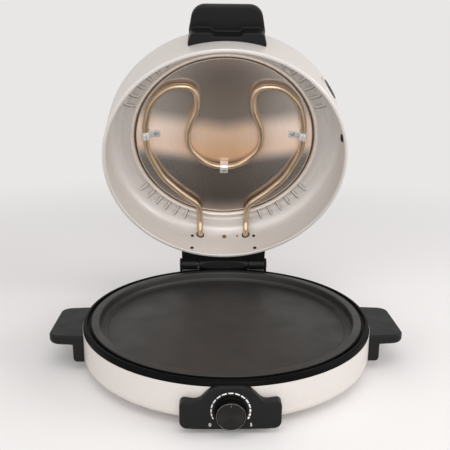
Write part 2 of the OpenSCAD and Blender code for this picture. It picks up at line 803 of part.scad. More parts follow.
upper_flat = [for (p = bent_path(upper_bends)) [p[0], p[1], upper_z]];
skirt_drop = upper_z - skirt_hole_z;
upper_end = concat(
    [for (a = [22.5:22.5:180])
        [skirt_hole_x, 128 + a / 10, upper_z - skirt_drop * (1 - cos(a)) / 2]],
    [[skirt_hole_x, lid_r + 8, skirt_hole_z]]);

module upper_element() {
    half = concat([for (i = [1:len(upper_flat) - 1]) upper_flat[i]], upper_end);
    color("tan") in_lid() tube(concat(mirrored(half), [[0, 37, upper_z]], half), tube_d / 2, 10);
}

// A strap over the tube at `at`, with a foot that is screwed to the reflector at `foot`
module clip(at, turn, foot, slack = play) {
    r = tube_d / 2 + slack;
    t = 0.8;
    w = clip_w;
    color("silver") in_lid() difference() {
        translate([at[0], at[1], 0]) rotate([0, 0, turn]) union() {
            translate([0, 0, upper_z]) rotate([90, 0, 0]) cylinder(r = r + t, h = w, center = true);
            translate([-r - t, -w / 2, upper_z]) cube([2 * (r + t), w, reflector_z - upper_z]);
            translate([-foot - 5, -w / 2, reflector_z - t]) cube([foot + 5, w, t]);
        }
        translate([at[0], at[1], 0]) rotate([0, 0, turn]) {
            translate([0, 0, upper_z]) rotate([90, 0, 0]) cylinder(r = r, h = 20, center = true);
            translate([-r, -w, upper_z]) cube([2 * r, 2 * w, reflector_z - upper_z - t]);
            translate([-foot, 0, reflector_z - 5]) cylinder(r = screw_r + press, h = 8);
        }
    }
}

module clip_left() { clip([-104.5, -12], 180, 13.5); }
module clip_right() { clip([104.5, -12], 0, 13.5); }
module clip_centre() { clip([0, 37], -90, 9, bend_slack); }

module clip_screws() {
    color("silver") in_lid() for (p = clip_feet) translate([p[0], p[1], 0]) {
        translate([0, 0, reflector_z - sheet - head_h]) cylinder(r = head_r - 0.4, h = head_h);
        translate([0, 0, reflector_z - sheet]) cylinder(r = screw_r, h = 5);
    }
}

module element_bushes() {
    color("ivory") in_lid() for (s = [-1, 1])
        translate([s * skirt_hole_x, lid_r + 1.5, skirt_hole_z]) difference() {
            rod_y(skirt_bush_r - press, 7.5);
            translate([0, 1, 0]) rod_y(tube_d / 2 + play, 12);
        }
}

// The lid handle's leg is a straight block with a pocket in its middle
module lid_handle() {
    w = handle_w / 2;
    out = lid_r + leg_t + 1.5;
    pocket = lid_r + 5;
    pocket_w = 15;
    slope = 4;
    color([0.12, 0.12, 0.12]) in_lid() rotate([0, 0, -90]) fitted_to(lid_r, grip_low, lid_leg) {
        grip(lid_r, grip_low, handle_w - 10);
        translate([0, 0, grip_low - lid_leg]) linear_extrude(lid_leg + 1) polygon([
            [lid_r - 20, -w], [lid_r, -w], [out, 5 - w], [out, -pocket_w - slope],
            [pocket, -pocket_w], [pocket, pocket_w], [out, pocket_w + slope], [out, w - 5],
            [lid_r, w], [lid_r - 20, w]]);
    }
}

module lid_handle_screws() {
    color("silver") in_lid() rotate([0, 0, -90]) handle_screws(lid_in, grip_low - screw_drop);
}

// The moulded housing on the lid's back: it holds the element's terminals and both knuckles
module hinge_housing() {
    w = hinge_w;
    axis = hinge_z - lip_z;
    top = skirt_hole_z + 13;
    back = hinge_y + 4;
    color([0.12, 0.12, 0.12]) in_lid() difference() {
        union() {
            difference() {
                translate([w / 2, 0, 0]) rotate([0, -90, 0]) linear_extrude(w) polygon([
                    [0.6, lid_r - 40], [0.6, hinge_y - 4], [axis, hinge_y + barrel_r],
                    [axis + 12, hinge_y + barrel_r], [top - 8, back], [top, back - 8],
                    [top, lid_r - 40]]);
                translate([-w / 2 + plastic, lid_r - 50, axis + barrel_r + plastic + 2])
                    cube([w - 2 * plastic, back - plastic - lid_r + 50,
                          top - axis - barrel_r - 2 * plastic - 2]);
            }
            translate([0, hinge_y, axis]) rod_x(barrel_r, w);
            for (s = [-1, 1]) translate([s * housing_screw_x, back, housing_screw_zs[0]])
                rod_y(screw_r + 2.4, back - lid_r + 30);
        }
        cylinder(r = lid_r + press, h = 100, $fn = 160);
        // room for the fixed knuckle over the whole swing
        translate([0, hinge_y, axis]) rod_x(barrel_r + 0.8, 2 * arm_in);
        translate([-arm_in, hinge_y - 40, -10]) cube([2 * arm_in, 60, 10.6 + 0.6]);
        translate([-arm_in, hinge_y - barrel_r, -1]) cube([2 * arm_in, 40, axis + 1]);
        translate([0, hinge_y, axis]) rod_x(pin_d / 2 + play, w + 10);
        for (s = [-1, 1], z = housing_screw_zs)
            translate([s * housing_screw_x, lid_r + 3, z]) rod_y(screw_r + press, 40);
    }
}

module housing_screws() {
    inner = sqrt(lid_in * lid_in - housing_screw_x * housing_screw_x) - 1.4;
    color("silver") in_lid() for (s = [-1, 1], z = housing_screw_zs)
        translate([s * housing_screw_x, inner, z]) {
            rod_y(head_r, head_h);
            translate([0, 8, 0]) rod_y(screw_r, 8);
        }
}

module lid_terminals() {
    color("goldenrod") in_lid() for (s = [-1, 1])
        translate([s * skirt_hole_x, lid_r + 8, skirt_hole_z]) {
            rotate([-90, 0, 0]) cylinder(r = 1.5, h = 3);
            translate([-3, 2, -0.4]) cube([6, 6, 0.8]);
        }
}

module skirt_plug() {
    color([0.08, 0.08, 0.08]) in_lid() rotate([0, 0, -plug_turn])
        translate([0, lid_r + 1, plug_z]) {
            rod_y(plug_r - press, 5);
            rod_y(plug_r + 1, 0.7);
        }
}

module vent_bezel() {
    color("silver") in_lid() rotate([0, 0, -vent_turn]) difference() {
        translate([0, lid_r + 1.2, vent_z]) rod_y(vent_r, 6);
        translate([0, lid_r + 3, vent_z]) rod_y(vent_r - 3.5, 10);
        difference() {
            translate([0, 0, vent_z - 30]) cylinder(r = lid_r + press, h = 60, $fn = 160);
            translate([0, lid_r + 5, vent_z]) rod_y(vent_r - 2 - press, 12);
        }
    }
}

module vent_disc() {
    color([0.1, 0.1, 0.1]) in_lid() rotate([0, 0, -vent_turn]) difference() {
        translate([0, lid_r - 2.4, vent_z]) rod_y(vent_r - 3.5 - press, 1.6);
        for (z = [-6:4:6]) translate([-7, lid_r - 10, vent_z + z - 0.8]) cube([14, 12, 1.6]);
    }
}

base_shell();
bottom_cover();
bottom_screws();
rim_ring();
heat_shield();
lower_element();
lower_clips();
lower_bushes();
lower_terminals();
thermal_cutout();
terminal_block();
terminal_screws();
thermostat();
thermostat_nut();
control_panel();
panel_screws();
side_handle_left();
side_handle_right();
side_handle_screws();
feet();
foot_screws();
rear_housing();
rear_housing_screws();
power_inlet();
inlet_blades();
hinge_pin();
hinge_washers();
baking_pan();
knob();
knob_insert();
thermostat_shaft();
lid_shell();
lid_liner();
lid_reflector();
reflector_studs();
upper_element();
clip_left();
clip_right();
clip_centre();
clip_screws();
element_bushes();
lid_handle();
lid_handle_screws();
hinge_housing();
housing_screws();
lid_terminals();
skirt_plug();
vent_bezel();
vent_disc();
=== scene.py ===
import json
from math import acos, asin, atan2, ceil, cos, degrees, hypot, pi, radians, sin, sqrt, tan

import bmesh
import bpy
from mathutils import Matrix, Vector


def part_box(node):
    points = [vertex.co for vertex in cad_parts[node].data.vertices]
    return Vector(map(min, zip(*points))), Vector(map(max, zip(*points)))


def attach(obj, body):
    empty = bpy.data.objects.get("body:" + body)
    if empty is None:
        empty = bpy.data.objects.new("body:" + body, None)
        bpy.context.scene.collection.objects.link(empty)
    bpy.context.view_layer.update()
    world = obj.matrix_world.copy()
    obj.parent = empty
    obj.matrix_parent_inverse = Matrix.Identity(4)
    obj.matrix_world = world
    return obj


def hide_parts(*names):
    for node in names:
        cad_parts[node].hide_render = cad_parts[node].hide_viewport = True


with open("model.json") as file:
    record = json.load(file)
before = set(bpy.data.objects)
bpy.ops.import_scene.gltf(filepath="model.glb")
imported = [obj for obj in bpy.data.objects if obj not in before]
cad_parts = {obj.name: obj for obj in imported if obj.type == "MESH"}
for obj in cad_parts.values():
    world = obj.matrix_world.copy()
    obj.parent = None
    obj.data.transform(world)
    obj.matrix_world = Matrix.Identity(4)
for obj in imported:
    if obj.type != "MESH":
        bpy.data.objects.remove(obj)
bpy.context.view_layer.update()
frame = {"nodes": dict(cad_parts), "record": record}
mm = 0.001
cad = frame["nodes"]
joints = {joint["name"]: joint for joint in frame["record"]["behaviour"]["joints"]}
hinge = joints["lid_hinge"]


def addObject(name, data):
    obj = bpy.data.objects.new(name, data)
    bpy.context.collection.objects.link(obj)
    return obj


view = dict(
    target=(-2.3, 0, 120.0),  # mm, what the camera looks at
    distance=733.3,
    azimuth=-1.5,  # degrees
    elevation=14.69,
    roll=0.47,
    lens=51.19,
    sensor=36.0,
)


def makeCamera():
    az, el, roll = (radians(view[k]) for k in ("azimuth", "elevation", "roll"))
    back = Vector((sin(az) * cos(el), -cos(az) * cos(el), sin(el)))
    right = Vector((cos(az), sin(az), 0))
    up = back.cross(right)
    right, up = right * cos(roll) + up * sin(roll), up * cos(roll) - right * sin(roll)
    data = bpy.data.cameras.new("camera")
    data.lens = view["lens"]
    data.sensor_width = view["sensor"]
    data.clip_start = 0.01
    camera = addObject("camera", data)
    turn = Matrix((right, up, back)).transposed().to_4x4()
    spot = (Vector(view["target"]) + back * view["distance"]) * mm
    camera.matrix_world = Matrix.Translation(spot) @ turn
    bpy.context.scene.camera = camera


makeCamera()
print("camera set")


# An sRGB hex colour as the linear values that the nodes take
def linear(hexColour):
    parts = [int(hexColour[i:i + 2], 16) / 255 for i in (1, 3, 5)]
    return [c / 12.92 if c <= 0.04045 else ((c + 0.055) / 1.055) ** 2.4 for c in parts] + [1]


# A setting goes to the input of that name or number, or else to the node itself
def addNode(tree, kind, settings=None, links=None):
    node = tree.nodes.new(kind)
    for key, value in (settings or {}).items():
        if isinstance(key, int) or key in node.inputs:
            node.inputs[key].default_value = value
        else:
            setattr(node, key, value)
    for key, socket in (links or {}).items():
        tree.links.new(socket, node.inputs[key])
    return node


def newMaterial(name, **constants):
    material = bpy.data.materials.new(name)
    material.use_nodes = True
    tree = material.node_tree
    tree.nodes.clear()
    shader = addNode(tree, "ShaderNodeBsdfPrincipled", constants)
    output = addNode(tree, "ShaderNodeOutputMaterial")
    tree.links.new(shader.outputs["BSDF"], output.inputs["Surface"])
    return material, tree, shader


# Two tones of one finish, mixed by a noise of the given grain in mm
def mottled(tree, shader, light, dark, grain, contrast=0.25):
    coords = addNode(tree, "ShaderNodeTexCoord").outputs["Object"]
    noise = addNode(tree, "ShaderNodeTexNoise", {"Scale": 1 / (grain * mm), "Detail": 3.0},
                    {"Vector": coords})
    share = addNode(tree, "ShaderNodeMapRange", {1: 0.5 - contrast, 2: 0.5 + contrast},
                    {0: noise.outputs["Fac"]})
    mix = addNode(tree, "ShaderNodeMix", {"data_type": "RGBA", 6: linear(dark), 7: linear(light)},
                  {0: share.outputs[0]})
    tree.links.new(mix.outputs[2], shader.inputs["Base Color"])
    return coords


# Bumps of the given grain and height in mm, laid over those that come before
def grainBump(tree, shader, coords, grain, height, strength, detail=2.0, after=None):
    noise = addNode(tree, "ShaderNodeTexNoise", {"Scale": 1 / (grain * mm), "Detail": detail},
                    {"Vector": coords})
    bump = addNode(tree, "ShaderNodeBump", {"Distance": height * mm, "Strength": strength},
                   {"Height": noise.outputs["Fac"]})
    if after is not None:
        tree.links.new(after.outputs["Normal"], bump.inputs["Normal"])
    tree.links.new(bump.outputs["Normal"], shader.inputs["Normal"])
    return bump


# Roughness that drifts between two values over patches of the given size in mm
def patchyRoughness(tree, shader, coords, low, high, patch):
    noise = addNode(tree, "ShaderNodeTexNoise", {"Scale": 1 / (patch * mm), "Detail": 2.0},
                    {"Vector": coords})
    drift = addNode(tree, "ShaderNodeMapRange", {1: 0.3, 2: 0.7, 3: low, 4: high},
                    {0: noise.outputs["Fac"]})
    tree.links.new(drift.outputs[0], shader.inputs["Roughness"])


# Silver polyester enamel baked on steel sheet: a warm pale grey with a faint metal flake. The
# real flake is about 0.05 mm, so it is drawn some twenty times coarser to show at all
def silverEnamel(name, light, dark):
    material, tree, shader = newMaterial(name, Metallic=0.18, Roughness=0.4)
    coords = mottled(tree, shader, light, dark, grain=1.1, contrast=0.2)
    patchyRoughness(tree, shader, coords, 0.36, 0.46, patch=30)
    flake = grainBump(tree, shader, coords, grain=0.9, height=0.02, strength=0.25)
    grainBump(tree, shader, coords, grain=9, height=0.05, strength=0.2, after=flake)
    return material


# Moulded polypropylene, black and half matt, with the spark-eroded grain of its mould: 0.2 mm in
# truth, and drawn at 0.8 mm to show
def blackPolypropylene():
    material, tree, shader = newMaterial("blackPolypropylene")
    shader.inputs["Specular IOR Level"].default_value = 0.19
    coords = mottled(tree, shader, "#161515", "#101010", grain=2.2)
    patchyRoughness(tree, shader, coords, 0.4, 0.5, patch=18)
    grainBump(tree, shader, coords, grain=0.8, height=0.05, strength=0.35, detail=4.0)
    return material


# Moulded phenolic resin of the rim ring and the knob: a deeper black with a soft highlight. Its
# filler is finer than the mottle here, which is drawn coarse enough to show
def blackPhenolic():
    material, tree, shader = newMaterial("blackPhenolic")
    shader.inputs["Specular IOR Level"].default_value = 0.04
    coords = mottled(tree, shader, "#0b0a0a", "#070707", grain=3)
    patchyRoughness(tree, shader, coords, 0.33, 0.44, patch=25)
    grainBump(tree, shader, coords, grain=1.2, height=0.03, strength=0.3)
    return material


# Sprayed non-stick coating on the pan's aluminium: near black, with a faint pale fleck and the
# spray's orange peel
def nonStick():
    material, tree, shader = newMaterial("nonStickCoatedAluminium", Roughness=0.5)
    coords = addNode(tree, "ShaderNodeTexCoord").outputs["Object"]
    fleck = addNode(tree, "ShaderNodeTexVoronoi", {"Scale": 1 / (1.6 * mm)}, {"Vector": coords})
    dot = addNode(tree, "ShaderNodeMapRange", {1: 0.1, 2: 0.2, 3: 1.0, 4: 0.0},
                  {0: fleck.outputs["Distance"]})
    mix = addNode(tree, "ShaderNodeMix", {
        "data_type": "RGBA", 6: linear("#222120"), 7: linear("#3f3d3b")}, {0: dot.outputs[0]})
    tree.links.new(mix.outputs[2], shader.inputs["Base Color"])
    patchyRoughness(tree, shader, coords, 0.42, 0.56, patch=40)
    grainBump(tree, shader, coords, grain=1.4, height=0.05, strength=0.4)
    return material


# Sheet that was brushed in circles, whose lights fan out from the middle: the UV map runs round
# (u) and outwards (v, in metres), and the lines are drawn wider than real ones, which don't show
def circleBrushed(name, light, dark, rough, anisotropy, line=1.0):
    material, tree, shader = newMaterial(name, Metallic=1.0, Roughness=rough,
                                         Anisotropic=anisotropy)
    uv = addNode(tree, "ShaderNodeUVMap", {"uv_map": "round"})
    stretch = addNode(tree, "ShaderNodeMapping", {"Scale": (9, 1 / (line * mm), 1)},
                      {"Vector": uv.outputs["UV"]})
    lines = addNode(tree, "ShaderNodeTexNoise", {"Scale": 1.0, "Detail": 4.0, "Roughness": 0.7},
                    {"Vector": stretch.outputs["Vector"]})
    tone = addNode(tree, "ShaderNodeMix", {"data_type": "RGBA", 6: linear(dark), 7: linear(light)},
                   {0: lines.outputs["Fac"]})
    tree.links.new(tone.outputs[2], shader.inputs["Base Color"])
    bump = addNode(tree, "ShaderNodeBump", {"Distance": 0.015 * mm, "Strength": 0.25},
                   {"Height": lines.outputs["Fac"]})
    tree.links.new(bump.outputs["Normal"], shader.inputs["Normal"])
    tangent = addNode(tree, "ShaderNodeTangent", {"direction_type": "UV_MAP", "uv_map": "round"})
    tree.links.new(tangent.outputs["Tangent"], shader.inputs["Tangent"])
    return material, tree, shader, tone.outputs[2]


paintedReflectionBand = dict(
    # place down the plate, colour of the painted reflection, and how bare the metal is there
    stops=((0.0, "#bab0a8", 0.86), (0.3, "#e3d5c9", 0.8), (0.43, "#f9dac2", 0.16),
           (0.55, "#f6d0b0", 0.14), (0.66, "#cbc0b7", 0.85), (1.0, "#b2a9a2", 0.9)),
    bow=0.16,  # how much higher the band stands at the sides
    shift=-0.04,
    # painted highlight fans: from how far off the middle to how far, and the brightness at each
    fan={1: 0.05, 2: 0.4, 3: 0.88, 4: 1.22},
    depth={1: 0.08, 2: 0.3, 3: 1.15, 4: 0.7},  # the same for the painted reflection's strength
)


# Stainless reflector, brushed in circles, with a painted reflection down the plate: a warm band
# across the middle for a pizza on the pan below, lighter and darker zones above and below it, and
# painted highlight fans at its sides
def brushedStainless():
    b = paintedReflectionBand
    material, tree, shader, tone = circleBrushed("brushedStainlessSteel", "#ffffff", "#dcd6d1",
                                                 rough=0.25, anisotropy=0.6)
    plan = addNode(tree, "ShaderNodeUVMap", {"uv_map": "plan"})
    across = addNode(tree, "ShaderNodeSeparateXYZ", links={0: plan.outputs["UV"]})
    side = addNode(tree, "ShaderNodeMath", {"operation": "SUBTRACT", 1: 0.5},
                   {0: across.outputs["X"]})
    away = addNode(tree, "ShaderNodeMath", {"operation": "ABSOLUTE"}, {0: side.outputs[0]})
    rise = addNode(tree, "ShaderNodeMath", {
        "operation": "MULTIPLY_ADD", 1: b["bow"], 2: b["shift"]}, {0: away.outputs[0]})
    down = addNode(tree, "ShaderNodeMath", {"operation": "ADD"},
                   {0: across.outputs["Y"], 1: rise.outputs[0]})
    # painted reflection: its colour and how bare the metal is, down the plate
    paintedReflection = addNode(tree, "ShaderNodeValToRGB", links={0: down.outputs[0]})
    ramp = paintedReflection.color_ramp
    ramp.interpolation = "EASE"
    while len(ramp.elements) < len(b["stops"]):
        ramp.elements.new(0.5)
    for element, (at, colour, bare) in zip(ramp.elements, b["stops"]):
        element.position = at
        element.color = linear(colour)[:3] + [bare]
    tree.links.new(paintedReflection.outputs["Alpha"], shader.inputs["Metallic"])
    both = addNode(tree, "ShaderNodeMix", {"data_type": "RGBA", "blend_type": "MULTIPLY", 0: 1.0},
                   {6: tone, 7: paintedReflection.outputs["Color"]})
    # painted highlight: brighter towards the sides
    fan = addNode(tree, "ShaderNodeMapRange", b["fan"], {0: away.outputs[0]})
    fanned = addNode(tree, "ShaderNodeVectorMath", {"operation": "SCALE"},
                     {0: both.outputs[2], 3: fan.outputs[0]})
    depth = addNode(tree, "ShaderNodeMapRange", b["depth"], {0: away.outputs[0]})
    toned = addNode(tree, "ShaderNodeHueSaturation",
                    links={"Color": fanned.outputs[0], "Saturation": depth.outputs[0]})
    tree.links.new(toned.outputs[0], shader.inputs["Base Color"])
    return material


# Metal with a fine grain in no direction, from a colour that drifts a little: strip, screws, tube
def plainMetal(name, light, dark, rough, grain=1.5, metallic=1.0, bump=0.02):
    material, tree, shader = newMaterial(name, Metallic=metallic, Roughness=rough)
    coords = mottled(tree, shader, light, dark, grain=grain, contrast=0.2)
    patchyRoughness(tree, shader, coords, rough - 0.05, rough + 0.06, patch=8)
    grainBump(tree, shader, coords, grain=grain / 2, height=bump, strength=0.3)
    return material


# Smooth non-metal with a fine grain and no metal's glint: ceramic, rubber, paint, ink
def plainSolid(name, light, dark, rough, grain=1.5, bump=0.03):
    material, tree, shader = newMaterial(name, Roughness=rough)
    coords = mottled(tree, shader, light, dark, grain=grain)
    grainBump(tree, shader, coords, grain=grain / 2, height=bump, strength=0.35)
    return material


finish = dict(
    enamel=silverEnamel("silverEnamelledSteel", "#d4cec9", "#cbc4bf"),
    # inside the lid: the same enamel painted a little paler, as painted light for the brighter
    # light that falls inside
    innerEnamelPaintedLight=silverEnamel("silverEnamelledInside", "#dcd6d1", "#d3cdc8"),
    plastic=blackPolypropylene(),
    phenolic=blackPhenolic(),
    coating=nonStick(),
    reflector=brushedStainless(),
    # dyed black, so the brushing shows only as a faint sheen
    knobFace=circleBrushed("blackAnodisedAluminium", "#363534", "#2a2928", 0.34, 0.75, 0.8)[0],
    # pale metal for the knob's pointer, and for a thin ring at the knob's edge that is a painted
    # highlight
    pointerAndEdgeHighlight=plainMetal("turnedAluminiumEdge", "#8d8b89", "#767472", 0.3),
    # drawn tube that heat has turned a pale bronze
    sheath=plainMetal("bronzedNickelAlloyTube", "#d2bca1", "#c3a98c", 0.32, grain=14,
                      metallic=0.8, bump=0.002),
    # annealed tube: a dull brown grey
    darkSheath=plainMetal("annealedSteelTube", "#4a4540", "#35312e", 0.45),
    # bright plating, nearly white
    strip=plainMetal("nickelPlatedStrip", "#f0efed", "#e3e1de", 0.28, grain=9, metallic=0.45,
                     bump=0.003),
    # barrel plating: a soft grey without a mirror
    zinc=plainMetal("zincPlatedSteel", "#b3b0ab", "#96938e", 0.35),
    # ground bar: clean and a little bluish
    pin=plainMetal("groundSteel", "#b9b9ba", "#9d9d9f", 0.25),
    # hot-dipped sheet with broad pale spangles
    shield=plainMetal("aluminisedSteel", "#bdbcba", "#a5a3a1", 0.4, grain=6),
    brass=plainMetal("brass", "#a58048", "#8a6a3a", 0.35),  # turned, dulled to a brown gold
    oxide=plainMetal("blackenedSteel", "#3a3735", "#2a2827", 0.5),  # a charcoal screw head
    steatite=plainSolid("steatiteCeramic", "#e6dfd2", "#d8d0c1", 0.6),  # pressed, unglazed cream
    # moulded and quite matt
    rubber=plainSolid("blackRubber", "#1d1c1c", "#151414", 0.75, grain=1.0, bump=0.06),
    # sprayed black, which hides the underside
    cover=plainSolid("blackEnamelledSteel", "#232221", "#1a1918", 0.5, grain=2),
    # pad-printed, a thin warm white
    ink=plainSolid("whitePrintedInk", "#f1efec", "#e6e4e0", 0.5, grain=0.8, bump=0.005),
    dark=plainSolid("shadowedHole", "#0d0c0c", "#080807", 0.8),  # a hole with no light in it
    slot=plainSolid("shadowedSlot", "#6b645f", "#5a544f", 0.8),  # a slot with some light in it
    # the reflector's rolled bead and hem, painted pale: a painted highlight along them
    ledge=plainMetal("rolledStainlessEdge", "#f1e9e1", "#e6dcd2", 0.34, grain=3, metallic=0.25),
    # a brown ring painted just inside the bead: painted shade of the groove there
    grooveShade=plainMetal("heatTintedEdge", "#9a7a5e", "#86694f", 0.35, grain=3, metallic=0.6),
)
print("finishes made")


# A path with its corners rounded: each corner is (x, y, radius)
def rounded(corners, closed=True, step=12.0):
    points = []
    count = len(corners)
    for i, corner in enumerate(corners):
        b = Vector(corner[:2])
        radius = corner[2] if len(corner) > 2 else 0
        if radius == 0 or (not closed and i in (0, count - 1)):
            points.append(tuple(b))
            continue
        a = Vector(corners[i - 1][:2])
        c = Vector(corners[(i + 1) % count][:2])
        u, v = (a - b).normalized(), (c - b).normalized()
        half = acos(max(-1, min(1, u.dot(v)))) / 2
        firstReach = 0.95 if not closed and i == 1 else 0.49
        lastReach = 0.95 if not closed and i == count - 2 else 0.49
        back = min(radius / tan(half), firstReach * (a - b).length, lastReach * (c - b).length)
        r = back * tan(half)
        centre = b + (u + v).normalized() * (r / sin(half))
        start = b + u * back - centre
        end = b + v * back - centre
        a0 = atan2(start.y, start.x)
        turn = (atan2(end.y, end.x) - a0 + pi) % (2 * pi) - pi
        steps = max(2, ceil(abs(turn) / radians(step)))
        for k in range(steps + 1):
            angle = a0 + turn * k / steps
            points.append((centre.x + r * cos(angle), centre.y + r * sin(angle)))
    return points


def arcPoints(cx, cy, r, a0, a1, steps):
    angles = [radians(a0 + (a1 - a0) * k / steps) for k in range(steps + 1)]
    return [(cx + r * cos(a), cy + r * sin(a)) for a in angles]


def newObject(name, vertices, faces, finishName, smooth=True):
    mesh = bpy.data.meshes.new(name)
    mesh.from_pydata([Vector(v) * mm for v in vertices], [], faces)
    mesh.materials.append(finish[finishName])
    mesh.polygons.foreach_set("use_smooth", [smooth] * len(mesh.polygons))
    return addObject(name, mesh)


# Turns a closed profile of (radius, height) in mm round Z, with UVs for round brushing
def spin(name, profile, finishName, segments=192):
    vertices, rows = [], []
    for r, z in profile:
        if r < 1e-6:
            rows.append([len(vertices)] * segments)
            vertices.append((0, 0, z))
            continue
        rows.append([len(vertices) + k for k in range(segments)])
        for k in range(segments):
            angle = 2 * pi * k / segments
            vertices.append((r * cos(angle), r * sin(angle), z))
    faces, corners = [], []
    for i, row in enumerate(rows):
        after = rows[(i + 1) % len(rows)]
        for k in range(segments):
            n = (k + 1) % segments
            loop = [(row[k], k, i), (row[n], k + 1, i),
                    (after[n], k + 1, i + 1), (after[k], k, i + 1)]
            unique = [p for j, p in enumerate(loop) if p[0] != loop[j - 1][0]]
            if len({p[0] for p in unique}) > 2:
                faces.append([p[0] for p in unique])
                corners.append(unique)
    obj = newObject(name, vertices, faces, finishName)
    mesh = obj.data
    roundMap = mesh.uv_layers.new(name="round")
    planMap = mesh.uv_layers.new(name="plan")
    reach = max(r for r, z in profile)
    for polygon, loop in zip(mesh.polygons, corners):
        for index, (vertex, k, i) in zip(polygon.loop_indices, loop):
            r = profile[i % len(profile)][0]
            roundMap.data[index].uv = (k / segments, r * mm)
            x, y, z = vertices[vertex]
            planMap.data[index].uv = (0.5 + x / reach / 2, 0.5 + y / reach / 2)
    return fixNormals(obj)


def fixNormals(obj):
    shape = bmesh.new()
    shape.from_mesh(obj.data)
    bmesh.ops.remove_doubles(shape, verts=shape.verts, dist=1e-6)
    bmesh.ops.recalc_face_normals(shape, faces=shape.faces)
    shape.to_mesh(obj.data)
    shape.free()
    return obj


# Keeps edges sharper than the angle crisp, and the rest smooth
def crease(obj, angle):
    shape = bmesh.new()
    shape.from_mesh(obj.data)
    for edge in shape.edges:
        if len(edge.link_faces) == 2 and edge.calc_face_angle() > radians(angle):
            edge.smooth = False
    shape.to_mesh(obj.data)
    shape.free()
    return obj


# A closed solid through rows of points in mm, each row as long as the first
def loft(name, rows, finishName):
    count = len(rows[0])
    faces = [[n * count + i, n * count + (i + 1) % count,
              (n + 1) * count + (i + 1) % count, (n + 1) * count + i]
             for n in range(len(rows) - 1) for i in range(count)]
    last = (len(rows) - 1) * count
    caps = [list(range(count))[::-1], list(range(last, last + count))]
    return fixNormals(newObject(name, [p for row in rows for p in row], faces + caps, finishName))


# A prism of an outline in mm, from z0 to z1
def prism(name, outline, z0, z1, finishName):
    return loft(name, [[(x, y, z) for x, y in outline] for z in (z0, z1)], finishName)


# Applies what modifiers an object has and leaves a plain mesh
def bake(obj):
    depsgraph = bpy.context.evaluated_depsgraph_get()
    mesh = bpy.data.meshes.new_from_object(obj.evaluated_get(depsgraph))
    obj.modifiers.clear()
    obj.data = mesh
    mesh.name = obj.name
    return obj


def addModifier(obj, kind, **settings):
    modifier = obj.modifiers.new(kind.lower(), kind)
    for key, value in settings.items():
        setattr(modifier, key, value)
    return modifier


def cutAway(obj, *tools):
    for tool in tools:
        addModifier(obj, "BOOLEAN", operation="DIFFERENCE", solver="EXACT", object=tool)
    bake(obj)
    for tool in tools:
        bpy.data.objects.remove(tool)
    return obj


def joinShapes(first, *others):
    shape = bmesh.new()
    for obj in (first, *others):
        shape.from_mesh(obj.data)
    shape.to_mesh(first.data)
    shape.free()
    for obj in others:
        bpy.data.objects.remove(obj)
    return first


# Rounds every edge as a moulding tool does: a fine voxel skin, relaxed
def moulded(obj, relax, voxel=0.6, share=0.5):
    addModifier(obj, "REMESH", mode="VOXEL", voxel_size=voxel * mm, use_smooth_shade=True)
    addModifier(obj, "SMOOTH", factor=0.5, iterations=relax)
    addModifier(obj, "DECIMATE", ratio=share)
    bake(obj)
    obj.data.polygons.foreach_set("use_smooth", [True] * len(obj.data.polygons))
    return obj


def paint(obj, finishName):
    obj.data.materials.clear()
    obj.data.materials.append(finish[finishName])
    return obj


# A merged copy of a CAD node, to be given soft edges
def copyOf(node, name, finishName):
    mesh = cad[node].data.copy()
    mesh.name = name
    obj = paint(addObject(name, mesh), finishName)
    shape = bmesh.new()
    shape.from_mesh(mesh)
    bmesh.ops.remove_doubles(shape, verts=shape.verts, dist=1e-6)
    shape.to_mesh(mesh)
    shape.free()
    if mesh.has_custom_normals:
        mesh.attributes.remove(mesh.attributes["custom_normal"])
    return obj


def place(obj, matrix):
    obj.data.transform(matrix)
    if matrix.determinant() < 0:
        obj.data.flip_normals()
    return obj


# A move in mm
def shift(x=0.0, y=0.0, z=0.0):
    return Matrix.Translation((x * mm, y * mm, z * mm))


def seat(obj, body, slotName, *nodes):
    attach(obj, body)
    if nodes:
        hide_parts(*nodes)
    return obj


# An empty tree with named inputs: each is (name, socket kind, default)
def newTree(name, inputs):
    tree = bpy.data.node_groups.new(name, "GeometryNodeTree")
    tree.interface.new_socket("Geometry", in_out="INPUT", socket_type="NodeSocketGeometry")
    tree.interface.new_socket("Geometry", in_out="OUTPUT", socket_type="NodeSocketGeometry")
    for label, kind, default in inputs:
        socket = tree.interface.new_socket(label, in_out="INPUT", socket_type=kind)
        if default is not None:
            socket.default_value = default
    return tree, addNode(tree, "NodeGroupInput"), addNode(tree, "NodeGroupOutput")


def finishTree(tree, given, taken, geometry):
    real = addNode(tree, "GeometryNodeRealizeInstances", links={0: geometry})
    painted = addNode(tree, "GeometryNodeSetMaterial",
                      links={"Geometry": real.outputs[0], "Material": given.outputs["Material"]})
    tree.links.new(painted.outputs[0], taken.inputs[0])
    return tree


# Copies of the item turned round Z: the first at Start, then one each Pitch
def ringTree():
    tree, given, taken = newTree("ringOfCopies", [
        ("Count", "NodeSocketInt", 6), ("Start", "NodeSocketFloat", 0.0),
        ("Pitch", "NodeSocketFloat", 0.1), ("Material", "NodeSocketMaterial", None)])
    line = addNode(tree, "GeometryNodeMeshLine", {"Offset": (0, 0, 0)},
                   {"Count": given.outputs["Count"]})
    index = addNode(tree, "GeometryNodeInputIndex").outputs[0]
    angle = addNode(tree, "ShaderNodeMath", {"operation": "MULTIPLY_ADD"},
                    {0: index, 1: given.outputs["Pitch"], 2: given.outputs["Start"]})
    turn = addNode(tree, "ShaderNodeCombineXYZ", links={"Z": angle.outputs[0]})
    onPoints = addNode(tree, "GeometryNodeInstanceOnPoints", links={
        "Points": line.outputs[0], "Instance": given.outputs["Geometry"],
        "Rotation": turn.outputs[0]})
    return finishTree(tree, given, taken, onPoints.outputs[0])


